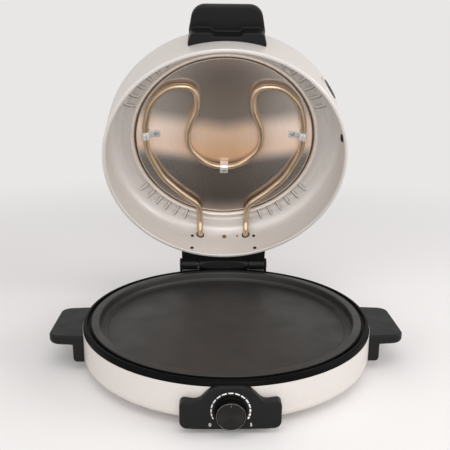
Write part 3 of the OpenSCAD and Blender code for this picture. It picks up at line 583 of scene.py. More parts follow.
# Copies of the item on each vertex of a mesh, turned by Turn
def pointTree():
    tree, given, taken = newTree("copiesOnPoints", [
        ("Item", "NodeSocketObject", None), ("Turn", "NodeSocketRotation", None),
        ("Material", "NodeSocketMaterial", None)])
    item = addNode(tree, "GeometryNodeObjectInfo", {"As Instance": True},
                   {"Object": given.outputs["Item"]})
    onPoints = addNode(tree, "GeometryNodeInstanceOnPoints", links={
        "Points": given.outputs["Geometry"], "Instance": item.outputs["Geometry"],
        "Rotation": given.outputs["Turn"]})
    return finishTree(tree, given, taken, onPoints.outputs[0])


# A round tube along the mesh's line of edges
def tubeTree():
    tree, given, taken = newTree("tubeOnPath", [
        ("Radius", "NodeSocketFloat", 0.004), ("Sides", "NodeSocketInt", 24),
        ("Spacing", "NodeSocketFloat", 0.002), ("Material", "NodeSocketMaterial", None)])
    path = addNode(tree, "GeometryNodeMeshToCurve", links={0: given.outputs["Geometry"]})
    knots = addNode(tree, "ShaderNodeMath", {"operation": "MULTIPLY", 1: 4.0},
                    {0: given.outputs["Spacing"]})
    sparse = addNode(tree, "GeometryNodeResampleCurve", {"mode": "LENGTH"}, {
        "Curve": path.outputs[0], "Length": knots.outputs[0]})
    soften = addNode(tree, "GeometryNodeCurveSplineType", {"spline_type": "CATMULL_ROM"},
                     {"Curve": sparse.outputs[0]})
    even = addNode(tree, "GeometryNodeResampleCurve", {"mode": "LENGTH"}, {
        "Curve": soften.outputs[0], "Length": given.outputs["Spacing"]})
    circle = addNode(tree, "GeometryNodeCurvePrimitiveCircle", links={
        "Resolution": given.outputs["Sides"], "Radius": given.outputs["Radius"]})
    tube = addNode(tree, "GeometryNodeCurveToMesh", {"Fill Caps": True}, {
        "Curve": even.outputs[0], "Profile Curve": circle.outputs[0]})
    soft = addNode(tree, "GeometryNodeSetShadeSmooth", links={0: tube.outputs[0]})
    return finishTree(tree, given, taken, soft.outputs[0])


# Dashes round a dial: the u-th from the top stands at Reach * sin(Step * u), as long as
# Length * cos(Step * u), and grows from Thin to Thick clockwise
def dialTree():
    number = "NodeSocketFloat"
    tree, given, taken = newTree("dialDashes", [
        ("Count", "NodeSocketInt", 15), ("Reach", number, 2.0), ("Step", number, 0.1),
        ("Radius", number, 0.018), ("Length", number, 5.0), ("Thin", number, 1.0),
        ("Thick", number, 2.0), ("Material", "NodeSocketMaterial", None)])
    index = addNode(tree, "GeometryNodeInputIndex").outputs[0]
    values = {"index": index, **{socket.name: socket for socket in given.outputs}}
    # the sum for each dash, one step a line: result, operation and what goes in
    for result, operation, *terms in (
            ("last", "SUBTRACT", "Count", 1.0),
            ("middle", "MULTIPLY", "last", 0.5),
            ("u", "SUBTRACT", "index", "middle"),
            ("phase", "MULTIPLY", "u", "Step"),
            ("sway", "SINE", "phase"),
            ("angle", "MULTIPLY", "sway", "Reach"),
            ("halfU", "MULTIPLY", "u", 0.5),
            ("fromMiddle", "DIVIDE", "halfU", "middle"),
            ("share", "ADD", "fromMiddle", 0.5),
            ("range", "SUBTRACT", "Thick", "Thin"),
            ("growth", "MULTIPLY", "range", "share"),
            ("width", "ADD", "growth", "Thin"),
            ("shrink", "COSINE", "phase"),
            ("length", "MULTIPLY", "shrink", "Length"),
            ("across", "SINE", "angle"),
            ("x", "MULTIPLY", "across", "Radius"),
            ("along", "COSINE", "angle"),
            ("y", "MULTIPLY", "along", "Radius"),
            ("clockwise", "MULTIPLY", "angle", -1.0)):
        numbers = {i: term for i, term in enumerate(terms) if isinstance(term, float)}
        sockets = {i: values[term] for i, term in enumerate(terms) if isinstance(term, str)}
        step = addNode(tree, "ShaderNodeMath", {"operation": operation, **numbers}, sockets)
        values[result] = step.outputs[0]
    spot = addNode(tree, "ShaderNodeCombineXYZ", links={"X": values["x"], "Y": values["y"]})
    size = addNode(tree, "ShaderNodeCombineXYZ", {"Z": 1.0},
                   {"X": values["length"], "Y": values["width"]})
    turn = addNode(tree, "ShaderNodeCombineXYZ", links={"Z": values["clockwise"]})
    line = addNode(tree, "GeometryNodeMeshLine", {"Offset": (0, 0, 0)}, {"Count": values["Count"]})
    spread = addNode(tree, "GeometryNodeSetPosition", links={
        "Geometry": line.outputs[0], "Position": spot.outputs[0]})
    onPoints = addNode(tree, "GeometryNodeInstanceOnPoints", links={
        "Points": spread.outputs[0], "Instance": given.outputs["Geometry"],
        "Rotation": turn.outputs[0], "Scale": size.outputs[0]})
    return finishTree(tree, given, taken, onPoints.outputs[0])


trees = dict(ring=ringTree(), points=pointTree(), tube=tubeTree(), dial=dialTree())


# Runs one of the trees on an object and leaves a plain mesh
def grow(obj, treeName, **values):
    modifier = obj.modifiers.new(treeName, "NODES")
    modifier.node_group = trees[treeName]
    sockets = {s.name: s.identifier for s in trees[treeName].interface.items_tree
               if s.in_out == "INPUT"}
    for label, value in values.items():
        modifier[sockets[label]] = finish[value] if label == "Material" else value
    return bake(obj)


print("helpers ready")


lidForm = dict(
    lip=12.5,  # mm, height of the closed lip
    radius=156.0,
    wall=0.8,
    height=74.0,
    edge=18.0,
    crown=4.0,
    lipWidth=4.6,
    lipHeight=3.2,
    open=radians(hinge["range_deg"][1]),
)
# Pieces of the lid are drawn closed, with the lip at z = 0, and inLid opens them
axis = Vector(hinge["pos_m"])
swing = (Matrix.Translation(axis) @ Matrix.Rotation(-lidForm["open"], 4, "X")
         @ Matrix.Translation(-axis))
inLid = swing @ shift(z=lidForm["lip"])


drum = dict(
    radius=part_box("base_shell")[1].x / mm,
    low=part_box("base_shell")[0].z / mm,
    top=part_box("base_shell")[1].z / mm,
    wall=0.8,
    edge=10.0,
    flange=127.0,
)


def makeDrum():
    r, low, top, wall, edge = (drum[k] for k in ("radius", "low", "top", "wall", "edge"))
    profile = rounded([
        (drum["flange"], low, 0.3), (r, low, edge), (r, top, 0.3), (r - wall, top, 0.3),
        (r - wall, low + wall, edge - wall), (drum["flange"], low + wall, 0.3)], step=7)
    seat(spin("drumShell", profile, "enamel"), "base", "silver_paint", "base_shell")


rim = dict(
    top=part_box("rim_ring")[1].z / mm,  # mm, as all of these
    radius=165.0,
    grooveOut=161.6,
    grooveIn=158.6,
    grooveDepth=3.2,
    inside=150.0,
    web=152.0,  # the skirt that hangs in the drum
    bottom=-2.2,
    collarIn=163.2,
    collarOut=165.8,  # fits inside the drum's wall
    stepOut=157.6,  # the shelf that the pan's flange lies on
    step=10.4,
)


def makeRim():
    top, low = rim["top"], drum["top"]
    wall = drum["radius"] - 0.2
    profile = rounded([
        (rim["inside"], rim["bottom"], 0.3), (rim["web"], rim["bottom"], 0.3),
        (rim["web"], low - 3, 0.3), (rim["collarIn"], low - 3, 0.3),
        (rim["collarIn"], low - 5, 0.3), (rim["collarOut"], low - 5, 0.3),
        (rim["collarOut"], low, 0), (wall, low, 0.5),
        (wall - 0.5, low + 2, 2), (rim["radius"], top, 1.5),
        (rim["grooveOut"], top, 0.9), (rim["grooveOut"] - 0.3, top - rim["grooveDepth"], 0.5),
        (rim["grooveIn"] + 0.3, top - rim["grooveDepth"], 0.5), (rim["grooveIn"], top - 0.4, 0.4),
        (rim["stepOut"], top - 0.4, 0.3), (rim["stepOut"], rim["step"], 0.1),
        (rim["inside"], rim["step"], 0.3)], step=15)
    seat(spin("rimRing", profile, "phenolic"), "base", "black_plastic", "rim_ring")


pan = dict(
    radius=144.5,
    wall=149.3,
    flange=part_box("baking_pan")[1].x / mm,
    depth=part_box("baking_pan")[1].z / mm,
    sheet=1.5,
)


def makePan():
    r, wall, flange, depth, t = (pan[k] for k in ("radius", "wall", "flange", "depth", "sheet"))
    profile = rounded([
        (0, -t), (r + 0.6, -t, 4), (wall, 3, 3), (wall, depth - t, 0.8), (flange, depth - t, 0.5),
        (flange, depth, 0.7), (wall - t, depth, 1.8), (wall - t, 3.2, 3), (r, 0, 4),
        (r - 3.2, 0, 1), (r - 4, -0.3, 1), (r - 5.5, -0.3, 1), (r - 6.3, 0, 1), (0, 0)], step=15)
    seat(crease(spin("bakingPan", profile, "coating"), 50), "base", "nonstick", "baking_pan")


makeDrum()
makeRim()
makePan()
print("drum, rim and pan made")


grip = dict(
    reach=35.0,
    thick=12.0,
    root=20.0,
    fit=0.05,  # mm, gap to the wall that it hugs
    hug=0.03,  # the least gap once its edges are soft
)


# A grip's slab on a wall of radius r: each step is a height and how far its outline is drawn in
def gripSlab(name, r, half, endHalf, corner, steps):
    out, root, reach = r + grip["reach"], r - grip["root"], grip["reach"]
    outline = rounded([(root, -half), (r + 6, -half), (out, -endHalf, corner),
                       (out, endHalf, corner), (r + 6, half), (root, half)])
    rows = [[(x - inset * max(0, x - r) / reach, y * (1 - inset / half), z) for x, y in outline]
            for z, inset in steps]
    return loft(name, rows, "plastic")


# Heights and insets of a rounded edge: from the face at z inwards, as a quarter circle
def edgeSteps(z, radius, towards):
    return [(z + towards * radius * (1 - cos(radians(a))), radius * (1 - sin(radians(a))))
            for a in (0, 22.5, 45, 67.5, 90)]


# The space inside a round wall, to cut the back of what hugs it
def insideWall(r, z0, z1):
    ring = arcPoints(0, 0, r + grip["fit"], 0, 360, 240)[:-1]
    return prism("tool", ring, z0, z1, "plastic")


sideGrip = dict(
    corner=12.0,
    halfWidth=44.0,
    endHalfWidth=41.0,
    leg=19.0,
    legThick=12.0,
    legCorner=4.5,
    underEdge=5.0,
    topEdge=1.6,
)


def sideHandle(name, node, side):
    g = sideGrip
    r = drum["radius"]
    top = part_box(node)[1].z / mm
    low = top - grip["thick"]
    foot = low - g["leg"]
    slab = gripSlab(name, r, g["halfWidth"], g["endHalfWidth"], g["corner"],
                    edgeSteps(low, g["underEdge"], 1) + edgeSteps(top, g["topEdge"], -1)[::-1])
    section = rounded([(r - 2, foot), (r + g["legThick"], foot, g["legCorner"]),
                       (r + g["legThick"], low + 3), (r - 2, low + 3)])
    half = g["halfWidth"]
    slices = [half * (k / 12 - 1) for k in range(25)]
    leg = loft("leg", [[(sqrt(q * q - y * y), y, z) for q, z in section] for y in slices],
               "plastic")
    for shape in (slab, leg):
        cutAway(shape, insideWall(r, foot - 5, top + 5))
    joinShapes(slab, leg)
    moulded(slab, relax=5)
    for v in slab.data.vertices:
        flat = hypot(v.co.x, v.co.y)
        if 0 < flat < (r + grip["hug"]) * mm:
            v.co.x *= (r + grip["hug"]) * mm / flat
            v.co.y *= (r + grip["hug"]) * mm / flat
    if side < 0:
        place(slab, Matrix.Scale(-1, 4, (1, 0, 0)))
    seat(slab, "base", "black_plastic", node)


sideHandle("sideHandleRight", "side_handle_right", 1)
sideHandle("sideHandleLeft", "side_handle_left", -1)

lidGrip = dict(
    corner=16.0,
    rootHalf=45.5,
    endHalf=39.0,
    low=38.0,  # mm, underside of the grip above the lip
    foot=22.0,
    blockOut=9.5,
    pocketOut=5.0,
    pocketHalf=15.0,
    chamfer=4.0,
    underEdge=1.8,
    topEdge=5.5,
)


def lidHandle():
    g = lidGrip
    r = lidForm["radius"]
    top = g["low"] + grip["thick"]
    slab = gripSlab("lidHandle", r, g["rootHalf"] - 1, g["endHalf"], g["corner"],
                    edgeSteps(g["low"], g["underEdge"], 1) + edgeSteps(top, g["topEdge"], -1)[::-1])
    out, pocket = r + g["blockOut"], r + g["pocketOut"]
    half, step = g["pocketHalf"], g["pocketHalf"] + g["chamfer"]
    right = [(out, step, 0.8), (out, g["rootHalf"] - 9, 2), (out - 2, g["rootHalf"] - 3, 5),
             (r - 3, g["rootHalf"], 2), (r - 20, g["rootHalf"])]
    left = [(x, -y, *radius) for x, y, *radius in right[::-1]]
    legOutline = rounded(left + [(pocket, -half, 0.8), (pocket, half, 0.8)] + right)
    leg = prism("leg", legOutline, g["foot"], g["low"] + 4, "plastic")
    for shape in (slab, leg):
        cutAway(shape, insideWall(r, g["foot"] - 5, top + 5))
    joinShapes(slab, leg)
    moulded(slab, relax=4)
    place(slab, inLid @ Matrix.Rotation(-pi / 2, 4, "Z"))
    seat(slab, "lid", "black_plastic", "lid_handle")


lidHandle()
print("grips made")


panel = dict(
    low=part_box("control_panel")[0].z / mm,
    face=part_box("control_panel")[0].y / mm,
    half=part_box("control_panel")[1].x / mm,
    shoulder=29.0,
    bump=15.0,
    bumpHalf=17.0,
    bumpFoot=31.0,
    deep=30.0,
    cut=(-60.0, 40.0),  # heights that the drum's round cut in its back spans
)


def panelOutline():
    low, half = panel["low"], panel["half"]
    shoulder = low + panel["shoulder"]
    top = shoulder + panel["bump"]
    side = [(0, low - 0.4), (half - 14, low, 30), (half, low + 1, 8), (half, shoulder, 5.5),
            (panel["bumpFoot"], shoulder - 0.4, 12), (panel["bumpHalf"], top, 14), (0, top + 0.2)]
    right = rounded([(x, z, *r) for x, z, *r in side], closed=False)
    return right + [(-x, z) for x, z in right[-2:0:-1]]


# Stands a shape drawn in X and Y upright, facing the front
upright = Matrix.Rotation(pi / 2, 4, "X")


def makePanel():
    box = prism("controlPanel", panelOutline(), 0, panel["deep"], "plastic")
    place(box, shift(y=panel["face"] + panel["deep"]) @ upright)
    cutAway(box, insideWall(drum["radius"], *panel["cut"]))
    moulded(box, relax=6)
    seat(box, "base", "black_plastic", "control_panel")


makePanel()

dial = dict(
    centre=joints["knob_turn"]["pos_m"],
    radius=18.4,
    dashes=15,
    reach=131.0,  # degrees from the top that the row would end at
    step=8.57,  # degrees of the sine that spaces and shortens the dashes
    length=4.9,
    thin=1.0,
    thick=1.75,
    numberX=19.5,  # mm from the dial's centre
    numberZ=-16.2,
    numberHeight=3.6,
)


def onPanel(height):
    x, y, z = dial["centre"]
    return Matrix.Translation((x, (panel["face"] - height) * mm, z)) @ upright


# Each dash is a plate 1 mm square, which the tree stretches
def makeDial():
    d = dial
    dash = prism("dialDashes", [(-0.5, -0.5), (0.5, -0.5), (0.5, 0.5), (-0.5, 0.5)], 0, 0.06,
                 "ink")
    grow(dash, "dial", Count=d["dashes"], Reach=radians(d["reach"]), Step=radians(d["step"]),
         Radius=d["radius"] * mm, Length=d["length"], Thin=d["thin"], Thick=d["thick"],
         Material="ink")
    seat(place(dash, onPanel(0.0)), "base", "black_plastic")


# One of the two numbers below the dashes
def makeNumber(text, name, side):
    curve = bpy.data.curves.new(name, "FONT")
    curve.body = text
    curve.size = dial["numberHeight"] * mm * 1.4  # figures stand 1 / 1.4 of a font's size
    curve.align_x = "CENTER"
    curve.extrude = 0.03 * mm
    outline = addObject(name, curve)
    depsgraph = bpy.context.evaluated_depsgraph_get()
    mesh = bpy.data.meshes.new_from_object(outline.evaluated_get(depsgraph))
    bpy.data.objects.remove(outline)
    obj = paint(addObject(name, mesh), "ink")
    place(obj, onPanel(0.02) @ shift(side * dial["numberX"], dial["numberZ"]))
    seat(obj, "base", "black_plastic")


makeDial()
makeNumber("0", "dialNumberLow", -1)
makeNumber("5", "dialNumberHigh", 1)

knobForm = dict(
    radius=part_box("knob")[1].x / mm - dial["centre"][0] / mm,
    height=10.5,
    gap=0.6,
    collar=2.2,
    crest=14.2,  # mm, radius over the ridges
    edge=0.8,
    ridges=48,
    ridgeWidth=0.9,
    ridgeHeight=0.4,
    line=0.2,
)


def makeKnob():
    k = knobForm
    top, crest = k["height"], k["crest"]
    low, root = k["collar"], crest - k["ridgeHeight"]
    profile = rounded([
        (0, k["gap"]), (k["radius"], k["gap"], 0.4), (k["radius"], low, 0.8),
        (root + 0.4, low + 0.5), (root, top - 1.2), (crest, top - 1.1, 0.2),
        (crest, top, k["edge"]), (crest - 1.2, top, 0.2), (crest - 1.2, top - 0.6, 0.1),
        (0, top - 0.6)], step=20)
    body = spin("controlKnob", profile, "phenolic", segments=96)
    width = k["ridgeWidth"] / 2
    ridge = prism("ridge", rounded([(root - 0.3, -width, 0), (crest, -width, 0.3),
                                    (crest, width, 0.3), (root - 0.3, width, 0)], step=45),
                  low + 0.3, top - 1.1, "phenolic")
    grow(ridge, "ring", Count=k["ridges"], Start=0.0, Pitch=2 * pi / k["ridges"],
         Material="phenolic")
    joinShapes(body, ridge)
    place(crease(body, 40), onPanel(0))
    seat(body, "knob", "black_plastic", "knob")
    face = spin("knobFace", [(0, top - 0.6), (crest - 1.25, top - 0.6), (crest - 1.25, top - 0.1),
                             (crest - 1.7, top - 0.2), (0, top - 0.2)], "knobFace", segments=96)
    # a thin pale ring at the face's edge: a painted highlight
    line = spin("knobEdgeLine", [(crest + k["line"] * cos(radians(a)) - k["edge"] * 0.75,
                                  top + k["line"] * sin(radians(a)) - 0.1)
                                 for a in range(0, 360, 45)], "pointerAndEdgeHighlight", segments=96)
    mark = prism("knobPointer", rounded([(-0.3, 9.5, 0.2), (0.3, 9.5, 0.2), (0.3, 12.0, 0.2),
                                         (-0.3, 12.0, 0.2)]), top - 0.3, top - 0.12, "pointerAndEdgeHighlight")
    for piece, nodes in ((face, ("knob_insert",)), (line, ()), (mark, ())):
        seat(place(piece, onPanel(0)), "knob", "knob_face", *nodes)


makeKnob()
print("panel, dial and knob made")


# The lid's profile from its side over the rounded shoulder to the crown
def lidSkin(r, height, edge):
    inner = r - edge
    ball = (inner ** 2 + lidForm["crown"] ** 2) / (2 * lidForm["crown"])
    lean = degrees(asin(inner / ball))
    shoulder = arcPoints(inner, height - edge, edge, 0, 90 - lean, 14)
    crown = arcPoints(0, height + lidForm["crown"] - ball, ball, 90 - lean, 90, 10)
    return shoulder + crown[1:]


def makeLid():
    f = lidForm
    r, wall = f["radius"], f["wall"]
    outside = lidSkin(r, f["height"], f["edge"])
    inside = lidSkin(r - wall, f["height"] - wall, f["edge"] - wall)[::-1]
    lipIn = r - f["lipWidth"]
    hem = rounded([(r - wall, f["lipHeight"] + 3), (r - wall, f["lipHeight"], 1.2),
                   (lipIn, f["lipHeight"], 1.3), (lipIn, 0, 1.5), (r, 0, 1.5),
                   (r, f["lipHeight"] + 6)], closed=False, step=15)
    shell = spin("lidShell", outside + inside + hem, "enamel")
    # the inner faces take the paler copy of the enamel: painted light
    shell.data.materials.append(finish["innerEnamelPaintedLight"])
    for face in shell.data.polygons:
        face.material_index = int(face.normal.dot((face.center.x, face.center.y, 0)) < -0.02)
    seat(place(shell, inLid), "lid", "silver_paint", "lid_shell")


makeLid()

reflectorForm = dict(
    radius=126.0,
    depth=61.0,  # mm above the lip
    sheet=0.8,
    beadWidth=5.2,
    beadHeight=4.2,
    grooveShadeWidth=1.6,
    gap=1.0,
    hemWidth=0.9,
)
linerForm = dict(
    sheet=0.8,
    start=38.0,  # mm above the lip, where the skirt begins to curve in
    ledgeRadius=139.0,
    ledge=57.0,
    recess=7.5,
)


# The liner's visible side, from the skirt over the ledge and the recess to the bead
def linerCourse(inset=0.0):
    f = linerForm
    out = lidForm["radius"] - lidForm["wall"] - 0.25 - inset
    reach, rise = out - f["ledgeRadius"], f["ledge"] - f["start"] - inset
    bow = [(f["ledgeRadius"] + reach * cos(radians(a)), f["start"] + rise * sin(radians(a)))
           for a in range(0, 91, 9)]
    hollow = arcPoints(f["ledgeRadius"] - f["recess"] + inset, f["ledge"] - inset, f["recess"],
                       5, 90, 8)
    return bow, hollow + [(reflectorForm["radius"] + 0.3, reflectorForm["depth"] + 0.3)]


def makeReflector():
    f = reflectorForm
    r, z = f["radius"], f["depth"]
    beadIn = r - f["beadWidth"]
    grooveShadeIn = beadIn - f["grooveShadeWidth"]
    hemOut = grooveShadeIn - f["gap"]
    hem = hemOut - f["hemWidth"]

    def ridge(out, width, height):
        half = width / 2
        return [(out - half - half * cos(radians(a)), z - height * sin(radians(a)))
                for a in range(180, -1, -15)]

    low = z + f["sheet"]
    plate = spin("reflector", [(0, z), (hem, z), (hem, low), (0, low)], "reflector")
    place(plate, inLid)
    seat(crease(plate, 60), "lid", "reflector_steel", "lid_reflector")
    # the bead and the hem are painted pale: a painted highlight along each
    edges = (("reflectorBead", r, f["beadWidth"], f["beadHeight"], "ledge"),
             # a brown ring inside the bead: painted shade
             ("reflectorTint", beadIn, f["grooveShadeWidth"], 1.1, "grooveShade"),
             ("reflectorHem", hemOut, f["hemWidth"], 0.8, "ledge"))
    for name, out, width, height, finishName in edges:
        strip = spin(name, ridge(out, width, height) + [(out - width, low), (out, low)],
                     finishName)
        place(crease(strip, 50), inLid)
        seat(strip, "lid", "reflector_steel")


def makeLiner():
    t = linerForm["sheet"]
    bow, hollow = linerCourse()
    face = bow + hollow + [(reflectorForm["radius"] - 2, reflectorForm["depth"] + 1.0)]
    outBow, outHollow = linerCourse(-t)
    back = [(reflectorForm["radius"] - 2, reflectorForm["depth"] + 1.7)]
    back += [p for p in outHollow[-2::-1] if p[1] > linerForm["ledge"] + t + 1] + outBow[::-1]
    # the liner takes the paler copy of the enamel: painted light
    liner = spin("lidLiner", face + back, "innerEnamelPaintedLight")
    place(crease(liner, 30), inLid)
    seat(liner, "lid", "silver_paint", "lid_liner")


louvreForm = dict(
    groups=(24.0, 113.8),  # degrees from the back to each group's first louvre
    count=6,
    pitch=6.5,
    width=2.0,
    slit=1.1,
    outer=142.5,
    inner=127.0,
    rise=1.6,
    start=-1.6,  # from the ledge
    climb=4.4,
)


# One louvre: a narrow rib that bridges the recess from the ledge to the bead, or the dark slit
# beside it, which lies a little deeper
def louvreBar(name, offset, width, deeper, finishName):
    f = louvreForm
    rows = []
    for k in range(9):
        share = k / 8
        r = f["outer"] + (f["inner"] - f["outer"]) * share
        base = linerForm["ledge"] + f["start"] + f["climb"] * share
        z = base - f["rise"] * sin(pi * share) ** 0.6 + deeper if 0 < share < 1 else base + 1.5
        crown = 0.35 * width
        rows.append([(offset - width / 2, -r, z + 3), (offset - width / 2, -r, z + 0.4),
                     (offset - crown, -r, z), (offset + crown, -r, z),
                     (offset + width / 2, -r, z + 0.4), (offset + width / 2, -r, z + 3)])
    return loft(name, rows, finishName)


def makeLouvres():
    f = louvreForm
    # the louvres take the paler copy of the enamel: painted light
    kinds = (("lidLouvres", 0.0, f["width"], 0.0, "innerEnamelPaintedLight"),
             ("lidLouvreSlits", (f["width"] + f["slit"]) / 2, f["slit"], 0.5, "slot"))
    for name, offset, width, deeper, finishName in kinds:
        parts = []
        for side in (-1, 1):
            for start in f["groups"]:
                bar = louvreBar(name, offset * side, width, deeper, finishName)
                grow(bar, "ring", Count=f["count"], Start=pi - side * radians(start),
                     Pitch=-side * radians(f["pitch"]), Material=finishName)
                parts.append(bar)
        bars = joinShapes(*parts)
        place(crease(bars, 45), inLid)
        seat(bars, "lid", "silver_paint")


makeReflector()
makeLiner()
makeLouvres()
print("lid shell, liner and reflector made")


element = dict(
    radius=4.0,
    depth=54.0,  # mm above the lip
    exitDepth=44.0,
    exitX=33.5,
    corners=[
        (0, 37, 0), (20, 37, 46), (48, 9, 46), (50, -20, 60), (36, -51, 40), (36, -83, 24),
        (72, -83, 34), (96.5, -60, 50), (104.5, -26, 60), (104.5, 12, 70), (85, 56, 80),
        (60, 82, 90), (34, 104, 24), (33.5, 126, 20)],
)


def makeElement():
    e = element
    flat = [(x, y, e["depth"]) for x, y in rounded(e["corners"], closed=False, step=6)[1:]]
    drop = e["depth"] - e["exitDepth"]
    fall = [(e["exitX"], 128 + a / 10, e["depth"] - drop * (1 - cos(radians(a))) / 2)
            for a in (22.5 * k for k in range(1, 9))]
    half = flat + fall + [(e["exitX"], lidForm["radius"] + 8, e["exitDepth"])]
    whole = [(-x, y, z) for x, y, z in half[::-1]] + half
    line = newObject("upperElement", whole, [], "sheath")
    line.data.edges.add(len(whole) - 1)
    for i, edge in enumerate(line.data.edges):
        edge.vertices = (i, i + 1)
    grow(line, "tube", Radius=e["radius"] * mm, Sides=28, Spacing=1.6 * mm,
         Material="sheath")
    line.data.polygons.foreach_set("use_smooth", [True] * len(line.data.polygons))
    seat(place(line, inLid), "lid", "element_sheath", "upper_element")


makeElement()

clipForm = dict(
    width=11.0,
    strip=0.9,
    feet=((-91, -12), (91, -12), (0, 46)),
    hubs=((-104.5, -12, 180, 13.5), (104.5, -12, 0, 13.5), (0, 37, -90, 9)),
)


# A strap of strip steel bent over the tube, with a screwed foot on the reflector
def makeClip(name, node, x, y, turn, foot):
    c = clipForm
    r = element["radius"] + 0.08
    high = reflectorForm["depth"] - element["depth"]
    course = [(-foot - 5, high - c["strip"], 0), (-r, high - c["strip"], 1.2), (-r, 0, 0)]
    course = rounded(course, closed=False) + arcPoints(0, 0, r, 180, 360, 16) + [(r, high - 0.1)]
    half = c["width"] / 2
    vertices = [(px, s * half, pz) for px, pz in course for s in (-1, 1)]
    faces = [[2 * i, 2 * i + 1, 2 * i + 3, 2 * i + 2] for i in range(len(course) - 1)]
    strap = newObject(name, vertices, faces, "strip")
    addModifier(strap, "SOLIDIFY", thickness=c["strip"] * mm, offset=1)
    addModifier(strap, "BEVEL", width=0.25 * mm, segments=2, limit_method="ANGLE",
                angle_limit=radians(40))
    bake(strap)
    crease(fixNormals(strap), 40)
    spot = shift(x, y, element["depth"])
    place(strap, inLid @ spot @ Matrix.Rotation(radians(turn), 4, "Z"))
    seat(strap, "lid", "clip_steel", node)


for name, node, hub in zip(("clipLeft", "clipRight", "clipCentre"),
                           ("clip_left", "clip_right", "clip_centre"), clipForm["hubs"]):
    makeClip(name, node, *hub)


# A pan head with a cross recess: its seat is z = 0 and it rises to +Z
def screwHead(name, r, h):
    head = spin(name, rounded([(0, 0), (r, 0, 0.1), (r, h * 0.55, 0.5), (r * 0.75, h, 1.5), (0, h)],
                              step=20), "zinc", segments=32)
    arms = [prism("arm", [(-a, -b), (a, -b), (a, b), (-a, b)], h * 0.45, h + 1, "dark")
            for a, b in ((r * 0.6, r * 0.13), (r * 0.13, r * 0.6))]
    return crease(cutAway(head, *arms), 35)


# Screws of the lid at the given points
def placeScrews(name, node, points, turn, r=2.9, h=1.6, finishName="zinc"):
    head = screwHead("head", r, h)
    spots = newObject(name, points, [], finishName)
    grow(spots, "points", Item=head, Turn=turn.to_euler(), Material=finishName)
    bpy.data.objects.remove(head)
    seat(place(spots, inLid), "lid", "zinc_steel", node)


placeScrews("clipScrews", "clip_screws",
            [(x, y, reflectorForm["depth"] - clipForm["strip"]) for x, y in clipForm["feet"]],
            Matrix.Rotation(pi, 4, "X"))

skirt = dict(
    screwX=45.0,
    screwHeights=(39.0, 12.0),
    holeRadius=5.7,
    rivets=((2.0, 3.2), (21.0, 1.7)),  # mm, place across and radius
    plugTurn=97.0,
    plugHeight=38.0,
    plugRadius=5.0,
    ventTurn=125.0,
    ventHeight=36.0,
    ventRadius=16.0,
    ventPitch=2.3,
)


def skirtDepth(x):
    return sqrt((lidForm["radius"] - lidForm["wall"]) ** 2 - x ** 2)


def skirtScrews():
    points = [(s * skirt["screwX"], skirtDepth(skirt["screwX"]) - 0.3, h)
              for s in (-1, 1) for h in skirt["screwHeights"]]
    placeScrews("housingScrews", "housing_screws", points, Matrix.Rotation(pi / 2, 4, "X"),
                r=2.5, h=0.9, finishName="oxide")


skirtScrews()


# Where a piece sits in a round hole of the skirt: it is drawn round Z with +Z outwards
def onSkirt(turn, height, radius=lidForm["radius"]):
    return (inLid @ Matrix.Rotation(-radians(turn), 4, "Z")
            @ shift(0, radius, height) @ Matrix.Rotation(-pi / 2, 4, "X"))


# How far the liner's bow stands in from the skirt at a height above the lip
def bowInset(height):
    f = linerForm
    share = min(0.98, max(0, (height - f["start"]) / (f["ledge"] - f["start"])))
    return (skirtDepth(0) - f["ledgeRadius"]) * (1 - sqrt(1 - share ** 2))


# Lays a piece that is drawn round Z on the inside of the skirt's back wall, curved as the wall is
def inSkirtWall(obj, x, height):
    place(obj, shift(x, 0, height) @ Matrix.Rotation(-pi / 2, 4, "X"))
    for v in obj.data.vertices:
        v.co.y += (skirtDepth(v.co.x / mm) - bowInset(v.co.z / mm)) * mm
    return place(obj, inLid)


def makeHoles():
    r, bore = skirt["holeRadius"], element["radius"] + 0.15
    for s, label, nodes in ((-1, "Left", ()), (1, "Right", ("element_bushes",))):
        hole = spin("elementHole" + label, rounded([
            (bore, -0.5), (r, -0.5, 0.2), (r, 0.1), (bore, 0.1)]), "dark", segments=48)
        inSkirtWall(hole, s * element["exitX"], element["exitDepth"])
        seat(hole, "lid", "steatite", *nodes)


def makeRivets():
    for k, (x, r) in enumerate(skirt["rivets"], 1):
        rivet = spin("skirtRivet%d" % k, rounded([
            (0, -0.7), (r * 0.6, -0.7, 0.6), (r, -0.3, 0.3), (r, 0.1), (0, 0.1)], step=20),
            "brass", segments=32)
        inSkirtWall(rivet, x, element["exitDepth"])
        seat(rivet, "lid", "brass_parts")


def makePlug():
    r = skirt["plugRadius"]
    plug = spin("skirtPlug", rounded([
        (0, -3.4), (r - 1, -3.4, 0.8), (r + 0.6, -1.6, 0.6), (r, -0.9, 0.2), (r, 0, 0),
        (r + 1.2, 0.1, 0.3), (r + 0.6, 1.0, 0.5), (0, 1.2)], step=20), "rubber", segments=48)
    place(plug, onSkirt(skirt["plugTurn"], skirt["plugHeight"]))
    seat(plug, "lid", "black_rubber", "skirt_plug")


